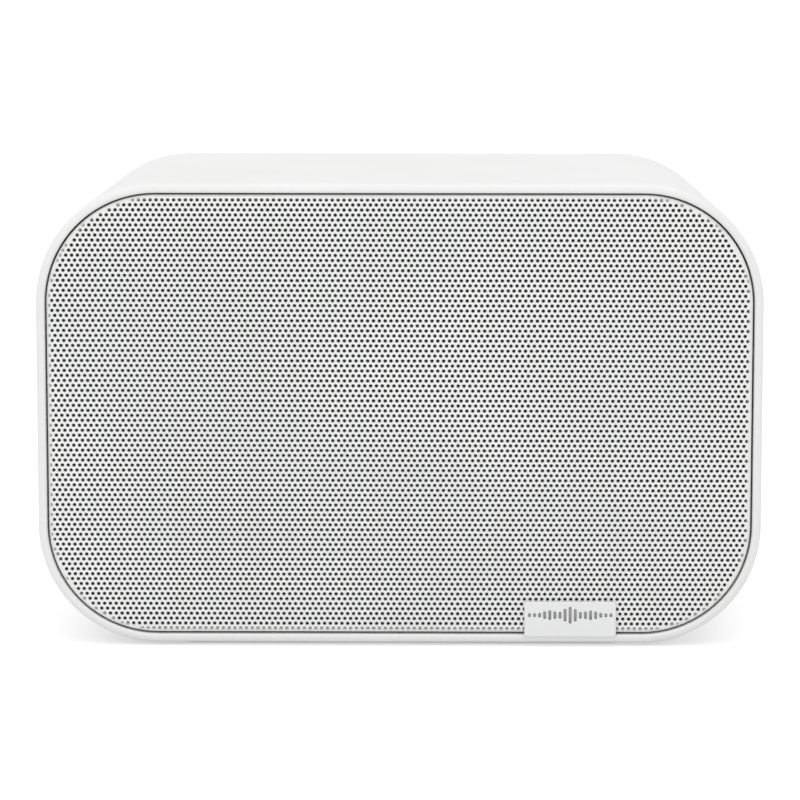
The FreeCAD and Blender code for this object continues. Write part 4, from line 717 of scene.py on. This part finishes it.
cone_paper = ringed(
    "cone_paper", (0.035, 0.034, 0.033), (0.055, 0.053, 0.05), woofer_middle, 2.4 * MM, 700, 0.35, 0.12 * MM,
    Roughness=0.78, Specular_IOR_Level=0.3,
)
dress(cone_paper, "woofer_cone", "woofer_dust_cap")
trim_pulp = ringed(
    "trim_pulp", (0.05, 0.048, 0.046), (0.03, 0.029, 0.028), woofer_middle, 1.6 * MM, 1200, 0.1, 0.1 * MM,
    Roughness=0.88, Specular_IOR_Level=0.2,
)
dress(trim_pulp, "woofer_trim_ring")
copper_coil = ringed(
    "copper_coil", (0.55, 0.24, 0.11), (0.42, 0.17, 0.08), woofer_middle, 0.18 * MM, 300, 0.8, 0.05 * MM,
    Metallic=0.9, Roughness=0.35,
)
dress(copper_coil, "woofer_voice_coil")
ferrite = ringed(
    "ferrite", (0.045, 0.045, 0.048), (0.075, 0.073, 0.072), woofer_middle, 5 * MM, 600, 0.05, 0.08 * MM,
    Roughness=0.6,
)
dress(ferrite, "woofer_magnet")
turned_steel = ringed(
    "turned_steel", (0.58, 0.59, 0.60), (0.50, 0.50, 0.50), woofer_middle, 0.35 * MM, 500, 0.6, 0.02 * MM,
    Metallic=1.0, Roughness=0.36,
)
dress(turned_steel, "woofer_top_plate", "woofer_yoke")
fibre_strip = skinned(
    "fibre_strip", (0.30, 0.17, 0.08), (0.22, 0.12, 0.06), 0.7, 0.15, 300, 1200, 0.05 * MM
)
dress(fibre_strip, "woofer_terminals")


def turned_ring(name, profile, centre, steps, material, slot, *stands_for):
    """A closed profile of (radius, depth) turned about an axis along Y through a centre."""
    radius, depth = np.asarray(profile).T
    turn = np.linspace(0, 2 * math.pi, steps, endpoint=False)[:, None]
    points = np.stack([
        centre.x + radius * np.cos(turn), centre.y + depth + 0 * turn, centre.z + radius * np.sin(turn),
    ], -1)
    faces = grid_faces(len(radius), steps, closed_across=True, closed_along=True)
    mesh = fill_mesh(name, points.reshape(-1, 3), [faces])
    return put(name, mesh, material, slot, None, *stands_for)


def follow_radius(piece):
    """Bakes a ring's placement into its mesh and reads its points into an array; nothing is done with
    them, so the ring stays as it was made."""
    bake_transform(piece)
    points = np.zeros(len(piece.data.vertices) * 3, np.float32)
    piece.data.vertices.foreach_get("co", points)


def walled(line, thick):
    """A closed profile from an open line of (radius, depth) and a thickness behind it: the line, and
    its copy moved along the line's normals, run back the other way."""
    line = np.asarray(line)
    along = np.gradient(line, axis=0)
    normal = np.stack([-along[:, 1], along[:, 0]], -1) / np.hypot(*along.T)[:, None]
    return np.concatenate([line, (line + thick * normal)[::-1]])


# The surround's face is level with the basket's flange, and rises in a half circle over its roll.
flange_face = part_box("woofer_trim_ring")[0].y + 0.5 * MM + 1.3 * MM
roll_middle = 41.2 * MM
surround_line = np.concatenate([
    [(35.25 * MM, -0.45 * MM), (36.4 * MM, -0.45 * MM)],
    np.stack([
        roll_middle - 3.85 * MM * np.cos(np.linspace(0, math.pi, 33)),
        -0.45 * MM - 3.35 * MM * np.sin(np.linspace(0, math.pi, 33)),
    ], -1),
    [(46.0 * MM, -0.45 * MM), (46.75 * MM, -0.45 * MM)],
])
surround_rubber = ringed(
    "surround_rubber", (0.022, 0.022, 0.023), (0.03, 0.03, 0.031), woofer_middle,
    0.8 * MM, 900, 0.25, 0.03 * MM,
    Roughness=0.55, Specular_IOR_Level=0.4,
)
surround_centre = (woofer_middle.x, flange_face, woofer_middle.z)
surround = turned_ring(
    "woofer_surround_roll", walled(surround_line, 0.42 * MM), Vector(surround_centre),
    192, surround_rubber, "soft_rubber", "woofer_surround",
)
follow_radius(surround)

# The spider is cotton cloth hot-pressed into five round waves, treated with yellow resin.
spider_low, spider_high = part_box("woofer_spider")
spider_level = (spider_low.y + spider_high.y) / 2
# Its darker second colour is painted shade between the threads.
spider_cloth = woven("spider_cloth", (0.42, 0.30, 0.12), (0.20, 0.13, 0.05), 2200, 0.08 * MM, Roughness=0.8)
spider_radius = np.linspace(12.63 * MM, 32.35 * MM, 161)
wave_share = np.clip((spider_radius - 13.7 * MM) / (27.2 * MM - 13.7 * MM), 0, 1)
spider_line = np.stack([spider_radius, 1.0 * MM * np.sin(wave_share * 10 * math.pi)], -1)
spider = turned_ring(
    "woofer_spider_cloth", walled(spider_line, 0.3 * MM),
    Vector((woofer_middle.x, spider_level - 0.15 * MM, woofer_middle.z)),
    192, spider_cloth, "spider_cloth", "woofer_spider",
)
follow_radius(spider)


# ------------------------------------------------------------------ tweeters
# Each is a doped silk dome on a soft ring, in a black faceplate screwed to the baffle, with a small
# magnet in a steel cup behind it.
dress(black_moulding, "tweeter_faceplate_left", "tweeter_faceplate_right")
# Its darker second colour is painted shade between the threads.
dome_silk = woven("dome_silk", (0.05, 0.045, 0.04), (0.02, 0.018, 0.016), 3600, 0.03 * MM, Roughness=0.45)
dress(dome_silk, "tweeter_dome_left", "tweeter_dome_right")
dress(zinc_steel, "tweeter_motor_left", "tweeter_motor_right")
# Its darker second colour is painted shade between the threads.
suspension_skin = woven(
    "suspension_silk", (0.035, 0.032, 0.03), (0.015, 0.014, 0.013), 3600, 0.02 * MM, Roughness=0.5
)
suspension_turn = np.linspace(0, math.pi, 17)
suspension_line = np.concatenate([
    np.stack([
        11.35 * MM - 1.3 * MM * np.cos(suspension_turn),
        2.9 * MM - 0.95 * MM * np.sin(suspension_turn),
    ], -1),
    [(13.0 * MM, 3.0 * MM), (13.45 * MM, 3.05 * MM)],
])
for side in ("left", "right"):
    plate_low, plate_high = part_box(f"tweeter_faceplate_{side}")
    place = (
        (plate_low.x + plate_high.x) / 2,
        plate_low.y,
        (plate_low.z + plate_high.z) / 2,
    )
    ring = turned_ring(
        f"tweeter_suspension_{side}", walled(suspension_line, 0.25 * MM), Vector(place), 96,
        suspension_skin, "soft_rubber", "tweeter_suspensions",
    )
    follow_radius(ring)


# ------------------------------------------------------------------ microphones and status light
# A narrow glass-fibre board with a green solder mask, two tinned microphone cans and a clear
# acrylic light pipe.
def make_circuit_group():
    """Solder mask over copper: straight tracks where a chequered distance field is small, and a
    scatter of round gold vias."""
    tree, given, result = new_group(
        "circuit",
        [
            ("Mask", "Color", (0.01, 0.09, 0.04, 1)),
            ("Track", "Color", (0.02, 0.16, 0.07, 1)),
            ("Scale", "Float", 260),
        ],
        [("Colour", "Color"), ("Metal", "Float"), ("Height", "Float")],
    )
    place = add_node(tree, "TexCoord").outputs["Object"]
    cells = add_node(tree, "TexVoronoi", distance="MANHATTAN", feature="F1")
    wire(tree, place, cells.inputs["Vector"])
    wire(tree, given["Scale"], cells.inputs["Scale"])
    bands = calculate(tree, "PINGPONG", calculate(tree, "MULTIPLY", cells.outputs["Distance"], 7.0), 1.0)
    tracks = stretch(tree, bands, 0.45, 0.55)
    dots = add_node(tree, "TexVoronoi", feature="F1")
    wire(tree, place, dots.inputs["Vector"])
    wire(tree, calculate(tree, "MULTIPLY", given["Scale"], 1.7), dots.inputs["Scale"])
    vias = stretch(tree, dots.outputs["Distance"], 0.16, 0.12)
    masked = blend_colours(tree, tracks, given["Mask"], given["Track"])
    wire(tree, blend_colours(tree, vias, masked, (0.75, 0.55, 0.22, 1)), result["Colour"])
    wire(tree, vias, result["Metal"])
    wire(tree, calculate(tree, "ADD", calculate(tree, "MULTIPLY", tracks, 0.6), vias), result["Height"])
    return tree


circuit_group = make_circuit_group()
circuit_board, board_tree, board_shader = new_material("circuit_board", Roughness=0.32, Coat_Weight=0.3)
circuit = place_group(board_tree, circuit_group)
wire(board_tree, circuit["Colour"], board_shader.inputs["Base Color"])
wire(board_tree, circuit["Metal"], board_shader.inputs["Metallic"])
raise_bumps(board_tree, board_shader, circuit["Height"], 0.04 * MM)
dress(circuit_board, "mic_board", "main_board", "power_board", "key_board", "antennas", "wifi_module")
tin_can = metal("tin_can", (0.70, 0.70, 0.68), (0.6, 0.6, 0.58), 0.28, 0.15, 500, 0.006 * MM)
dress(tin_can, "mic_capsules")
light_pipe = skinned(
    "light_pipe", (0.85, 0.87, 0.88), (0.80, 0.83, 0.85), 0.12, 0.05, 200, 800, 0.004 * MM,
    Transmission_Weight=0.8, IOR=1.49,
)
dress(light_pipe, "status_light")


# ------------------------------------------------------------------ rear panel, tray and port
# The panel is moulded in the casing's white, with a coarser texture. The tray is welded behind its
# window, and the port is a separate tube with a polished flare.
white_panel = skinned(
    "white_panel", (0.80, 0.80, 0.795), (0.775, 0.775, 0.768), 0.52, 0.14, 18, 1500, 0.035 * MM,
    Specular_IOR_Level=0.4,
)
dress(white_panel, "rear_panel", "terminal_tray")
port_moulding = skinned(
    "port_moulding", (0.78, 0.78, 0.775), (0.76, 0.76, 0.755), 0.34, 0.08, 30, 2400, 0.012 * MM,
    Specular_IOR_Level=0.5,
)
dress(port_moulding, "bass_port")


# ------------------------------------------------------------------ keys and slider
# White ABS keys with a dished top on a grey silicone mat, each with a printed sign, and a small
# ribbed slider for the microphones.
white_keys = skinned(
    "white_keys", (0.84, 0.84, 0.835), (0.82, 0.82, 0.815), 0.36, 0.08, 60, 2600, 0.01 * MM,
    Specular_IOR_Level=0.45,
)
key_names = ("power_key", "source_key", "volume_down_key", "volume_up_key")
dress(white_keys, *key_names)
slider_orange = skinned(
    "slider_orange", (0.70, 0.16, 0.04), (0.62, 0.13, 0.035), 0.42, 0.1, 120, 2400, 0.012 * MM
)
dress(slider_orange, "mute_slider")
dress(black_moulding, "mute_switch")
key_ink = skinned("key_ink", (0.20, 0.20, 0.205), (0.17, 0.17, 0.175), 0.55, 0.1, 300, 4000, 0.004 * MM)


def bar_outline(half_x, half_z, middle=(0, 0)):
    return np.array([(half_x, -half_z), (half_x, half_z), (-half_x, half_z), (-half_x, -half_z)]) + middle


def arc_band(radius, half_thick, start, end, steps=24):
    """A flat band along an arc in degrees: its outer edge one way and its inner edge back."""
    turn = np.radians(np.linspace(start, end, steps))
    unit = np.stack([np.cos(turn), np.sin(turn)], -1)
    return np.concatenate([(radius + half_thick) * unit, ((radius - half_thick) * unit)[::-1]])


SIGN_HALF = 0.22 * MM
key_signs = {
    "power_key": [arc_band(1.9 * MM, SIGN_HALF, 125, 415), bar_outline(SIGN_HALF, 1.1 * MM, (0, 1.5 * MM))],
    "source_key": [
        bar_outline(1.5 * MM, SIGN_HALF, (-0.5 * MM, 0)),
        np.array([(2.2 * MM, 0), (0.5 * MM, 1.3 * MM), (0.5 * MM, -1.3 * MM)]),
        arc_band(2.6 * MM, SIGN_HALF, -60, 60),
    ],
    "volume_down_key": [bar_outline(1.8 * MM, SIGN_HALF)],
    "volume_up_key": [
        bar_outline(1.8 * MM, SIGN_HALF),
        bar_outline(SIGN_HALF, 0.79 * MM, (0, 1.01 * MM)),
        bar_outline(SIGN_HALF, 0.79 * MM, (0, -1.01 * MM)),
    ],
}


def printed_sign(name, outlines):
    """Thin plates on a key's top, seen from behind the speaker: each outline is mirrored in X and
    read the other way round, so that it faces +Y."""
    low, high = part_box(name)
    middle = np.array([(low.x + high.x) / 2, (low.z + high.z) / 2])
    # The sign's plates stand just proud of the dished face, which is 0.1 to 0.3 below the rim.
    mirrored = [(outline * (-1, 1))[::-1] + middle for outline in outlines]
    points, faces = flat_plates(mirrored, high.y - 0.34 * MM, 0.3 * MM)
    mesh = fill_mesh(f"{name}_sign", points, faces)
    put(f"{name}_sign", mesh, key_ink, "white_keys", f"{name}_body", smooth=0)


for key_name in key_names:
    printed_sign(key_name, key_signs[key_name])


# ------------------------------------------------------------------ key mat
# One silicone moulding: a flat web with a hollow dome under each key, which folds as the key goes in.
mat_low, mat_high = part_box("key_mat")
mat_silicone = skinned(
    "mat_silicone", (0.30, 0.31, 0.32), (0.27, 0.28, 0.29), 0.6, 0.15, 80, 1200, 0.02 * MM,
    Subsurface_Weight=0.1,
    Subsurface_Scale=0.001,
)


def rounded_slab(low, high, corner, steps=10):
    """A slab with round corners in the front view: its outline front and back, joined by a wall."""
    arc = np.radians(np.linspace(0, 90, steps))
    pieces = []
    for quarter, (side_x, side_z) in enumerate(((1, 1), (-1, 1), (-1, -1), (1, -1))):
        middle_x = (high.x - corner) if side_x > 0 else (low.x + corner)
        middle_z = (high.z - corner) if side_z > 0 else (low.z + corner)
        turn = arc + quarter * math.pi / 2
        pieces.append(np.stack([middle_x + corner * np.cos(turn), middle_z + corner * np.sin(turn)], -1))
    return flat_plates([np.concatenate(pieces)], low.y, high.y - low.y)


web_top = Vector((mat_high.x, mat_low.y + 1.0 * MM, mat_high.z))
web_points, web_faces = rounded_slab(mat_low, web_top, 2 * MM)
web_mesh = fill_mesh("key_mat_web", web_points, web_faces)
put("key_mat_web", web_mesh, mat_silicone, "soft_rubber", "cabinet", "key_mat")
dome_height = mat_high.y - mat_low.y - 1.0 * MM
dome_line = np.array([
    (0.01, 1.0), (1.9, 1.0), (2.2, 0.94), (2.35, 0.8), (2.5, 0.45), (2.75, 0.15), (3.0, 0.0),
]) * (MM, dome_height)
for key_name in key_names:
    key_low, key_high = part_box(key_name)
    centre = Vector(((key_low.x + key_high.x) / 2, web_top.y, (key_low.z + key_high.z) / 2))
    dome = turned_ring(
        f"key_mat_dome_{key_name}", walled(dome_line, 0.3 * MM), centre, 40,
        mat_silicone, "soft_rubber", "key_mat",
    )
    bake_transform(dome)


# ------------------------------------------------------------------ sockets
# The mains inlet and line jack are black nylon with plated contacts, the service socket is a folded
# tin-plated shell round a plastic tongue.
def make_box_mask_group():
    """One inside a box given by its lowest and highest corner, and nought outside it."""
    tree, given, result = new_group(
        "inside_box",
        [("Low", "Vector", (0, 0, 0)), ("High", "Vector", (0, 0, 0))],
        [("Inside", "Float")],
    )
    place = add_node(tree, "TexCoord").outputs["Object"]
    inside = None
    for first, second in ((place, given["Low"]), (given["High"], place)):
        gap = add_node(tree, "VectorMath", operation="SUBTRACT")
        wire(tree, first, gap.inputs[0])
        wire(tree, second, gap.inputs[1])
        split = add_node(tree, "SeparateXYZ")
        wire(tree, gap.outputs[0], split.inputs[0])
        for axis in "XYZ":
            ahead = calculate(tree, "GREATER_THAN", split.outputs[axis], 0.0)
            inside = ahead if inside is None else calculate(tree, "MULTIPLY", inside, ahead)
    wire(tree, inside, result["Inside"])
    return tree


box_mask_group = make_box_mask_group()


def two_part(name, colour, metal_colour, roughness, boxes, **sockets):
    """A moulded material that turns to bare metal inside some boxes."""
    material, tree, shader = new_material(name, **sockets)
    skin = place_group(
        tree, skin_group, Colour=(*colour, 1), Patch_Colour=(*(0.8 * c for c in colour), 1), Patch_Scale=80.0,
        Grain_Scale=1800.0, Roughness=roughness, Spread=0.15,
    )
    inside = None
    for low, high in boxes:
        mask = place_group(tree, box_mask_group, Low=low, High=high)["Inside"]
        inside = mask if inside is None else calculate(tree, "MAXIMUM", inside, mask)
    wire(tree, blend_colours(tree, inside, skin["Colour"], (*metal_colour, 1)), shader.inputs["Base Color"])
    wire(tree, inside, shader.inputs["Metallic"])
    wire(tree, skin["Roughness"], shader.inputs["Roughness"])
    raise_bumps(tree, shader, skin["Height"], 0.02 * MM)
    return material


inlet_low, inlet_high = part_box("power_inlet")
inlet_middle = ((inlet_low.x + inlet_high.x) / 2, (inlet_low.z + inlet_high.z) / 2)
pin_boxes = [
    (
        (inlet_middle[0] + side * 4.3 * MM - 1.3 * MM, inlet_low.y - MM, inlet_middle[1] - 1.3 * MM),
        (inlet_middle[0] + side * 4.3 * MM + 1.3 * MM, inlet_high.y + MM, inlet_middle[1] + 1.3 * MM),
    )
    for side in (-1, 1)
]
inlet_nylon = two_part("inlet_nylon", (0.022, 0.022, 0.023), (0.7, 0.68, 0.62), 0.42, pin_boxes)
dress(inlet_nylon, "power_inlet")
usb_low, usb_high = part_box("usb_socket")
shell_wall = 0.42 * MM
spare = Vector((MM, MM, MM))
shell_boxes = []
for axis in (0, 2):
    wall_high, wall_low = usb_high + spare, usb_low - spare
    wall_high[axis] = usb_low[axis] + shell_wall
    wall_low[axis] = usb_high[axis] - shell_wall
    shell_boxes += [(usb_low - spare, wall_high), (wall_low, usb_high + spare)]
usb_shell = two_part("usb_shell", (0.85, 0.85, 0.83), (0.68, 0.68, 0.67), 0.35, shell_boxes)
dress(usb_shell, "usb_socket")
dress(black_moulding, "aux_jack")


# ------------------------------------------------------------------ boards and their parts
# An anodised heat sink, sleeved electrolytic cans and a taped transformer stand on the boards.
heat_sink = metal("heat_sink", (0.06, 0.06, 0.063), (0.09, 0.09, 0.09), 0.45, 0.15, 500, 0.01 * MM)
dress(heat_sink, "amplifier_heatsink")
capacitor_sleeve = skinned(
    "capacitor_sleeve", (0.02, 0.025, 0.05), (0.03, 0.035, 0.065), 0.3, 0.08, 90, 700, 0.01 * MM,
    Coat_Weight=0.4,
)
dress(capacitor_sleeve, "board_capacitors")
transformer_tape, tape_tree, tape_shader = new_material("transformer_tape", Roughness=0.4)
tape_skin = place_group(
    tape_tree, skin_group, Colour=(0.62, 0.42, 0.06, 1), Patch_Colour=(0.50, 0.33, 0.05, 1),
    Patch_Scale=120.0, Grain_Scale=900.0, Roughness=0.4, Spread=0.1,
)
core_low, core_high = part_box("mains_transformer")
tape_mask = place_group(
    tape_tree, box_mask_group,
    Low=(core_low.x - MM, core_low.y - MM, core_low.z + 6 * MM),
    High=(core_high.x + MM, core_high.y + MM, core_high.z - 6 * MM),
)
wire(
    tape_tree, blend_colours(tape_tree, tape_mask["Inside"], (0.035, 0.035, 0.037, 1), tape_skin["Colour"]),
    tape_shader.inputs["Base Color"],
)
wire(tape_tree, tape_skin["Roughness"], tape_shader.inputs["Roughness"])
raise_bumps(tape_tree, tape_shader, tape_skin["Height"], 0.03 * MM)
dress(transformer_tape, "mains_transformer")


# ------------------------------------------------------------------ leads and damping
# Tinned copper leads in PVC, and a slab of felted polyester glued under the casing's top.
speaker_insulation = skinned(
    "lead_insulation", (0.35, 0.02, 0.02), (0.28, 0.015, 0.015), 0.4, 0.1, 200, 1500, 0.01 * MM
)
dress(speaker_insulation, "woofer_leads", "tweeter_leads")
mains_insulation = skinned(
    "mains_insulation", (0.03, 0.10, 0.30), (0.025, 0.08, 0.25), 0.4, 0.1, 200, 1500, 0.01 * MM
)
dress(mains_insulation, "mains_leads")
felt, felt_tree, felt_shader = new_material("felt", Roughness=0.95, Sheen_Weight=0.4, Specular_IOR_Level=0.1)
felt_fibres = add_node(felt_tree, "Mapping")
felt_fibres.inputs["Scale"].default_value = (1, 0.25, 1)
wire(felt_tree, add_node(felt_tree, "TexCoord").outputs["Object"], felt_fibres.inputs["Vector"])
fibre = noise(felt_tree, felt_fibres.outputs["Vector"], 900, 6, 0.75)
felt_colour = blend_colours(
    felt_tree, stretch(felt_tree, fibre, 0.3, 0.7), (0.55, 0.55, 0.53, 1), (0.72, 0.72, 0.70, 1)
)
wire(felt_tree, felt_colour, felt_shader.inputs["Base Color"])
raise_bumps(felt_tree, felt_shader, fibre, 0.5 * MM)


def crowned_pad(name, low, high, crown):
    """A felt slab as a closed surface of two parameters: the direction over a sphere, pushed out to
    a box by a high-order norm, so that its faces are crowned and its edges pull in."""
    turn = np.linspace(0, 2 * math.pi, 160, endpoint=False)
    rise = np.linspace(-math.pi / 2, math.pi / 2, 82)[1:-1]
    turn, rise = np.meshgrid(turn, rise)
    unit = np.stack([np.cos(rise) * np.cos(turn), np.cos(rise) * np.sin(turn), np.sin(rise)], -1)
    norm = (np.abs(unit) ** crown).sum(-1) ** (1 / crown)
    half = (np.array(high) - np.array(low)) / 2
    middle = (np.array(high) + np.array(low)) / 2
    lumps = 1 - 0.02 * (1 + np.sin(9 * unit[..., 0] + 4 * unit[..., 1])) * np.abs(unit[..., 2])
    body = middle + half * unit / norm[..., None] * lumps[..., None]
    poles = np.array([middle - half * (0, 0, 1) * 0.96, middle + half * (0, 0, 1) * 0.96])
    points = np.concatenate([body.reshape(-1, 3), poles])
    across, along = 160, 80
    first, last = np.arange(across), (along - 1) * across + np.arange(across)
    bottom = np.stack([np.roll(first, -1), first, np.full(across, across * along)], -1)
    top = np.stack([last, np.roll(last, -1), np.full(across, across * along + 1)], -1)
    return fill_mesh(name, points, [grid_faces(across, along, closed_across=True), bottom, top])


pad_low, pad_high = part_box("damping_pad")
pad_mesh = crowned_pad("damping_felt", pad_low, pad_high, 9)
pad = put("damping_felt", pad_mesh, felt, "felt", "cabinet", "damping_pad")


# ------------------------------------------------------------------ studio
# A pale floor that is seen whiter than it lights the speaker, in a white room with a broad soft
# light overhead and a weak one in front.
floor_half = 30
floor_corners = floor_half * np.array([(-1, -1, 0), (1, -1, 0), (1, 1, 0), (-1, 1, 0)], float)
floor_mesh = fill_mesh("floor", floor_corners, [np.array([[0, 1, 2, 3]])])
floor_paint, floor_tree, floor_shader = new_material(
    "floor_paint", Base_Color=(0.64, 0.64, 0.64, 1), Roughness=0.9, Specular_IOR_Level=0.1,
    Emission_Color=(1, 1, 1, 1),
)
glow = calculate(floor_tree, "MULTIPLY", add_node(floor_tree, "LightPath").outputs["Is Camera Ray"], 0.22)
wire(floor_tree, calculate(floor_tree, "ADD", glow, 0.2), floor_shader.inputs["Emission Strength"])
floor_mesh.materials.append(floor_paint)
floor = bpy.data.objects.new("floor", floor_mesh)
bpy.context.scene.collection.objects.link(floor)

world = bpy.data.worlds.new("studio")
world.use_nodes = True
background = world.node_tree.nodes["Background"]
background.inputs["Color"].default_value = (1, 1, 1, 1)
background.inputs["Strength"].default_value = 0.9
bpy.context.scene.world = world


def light_from(name, kind, place, power, **settings):
    """A light that looks at the speaker's middle."""
    light = bpy.data.lights.new(name, kind)
    light.energy = power
    for setting, value in settings.items():
        setattr(light, setting, value)
    lamp = bpy.data.objects.new(name, light)
    bpy.context.scene.collection.objects.link(lamp)
    lamp.location = place
    lamp.rotation_euler = (Vector((0, 0, 0.08)) - Vector(place)).to_track_quat("-Z", "Y").to_euler()


light_from("ceiling_light", "SUN", (0, -0.35, 2), 0.85, angle=math.radians(80))
light_from("front_light", "AREA", (-0.3, -2.4, 0.4), 6, size=1.0)
bpy.context.scene.view_settings.view_transform = "Standard"
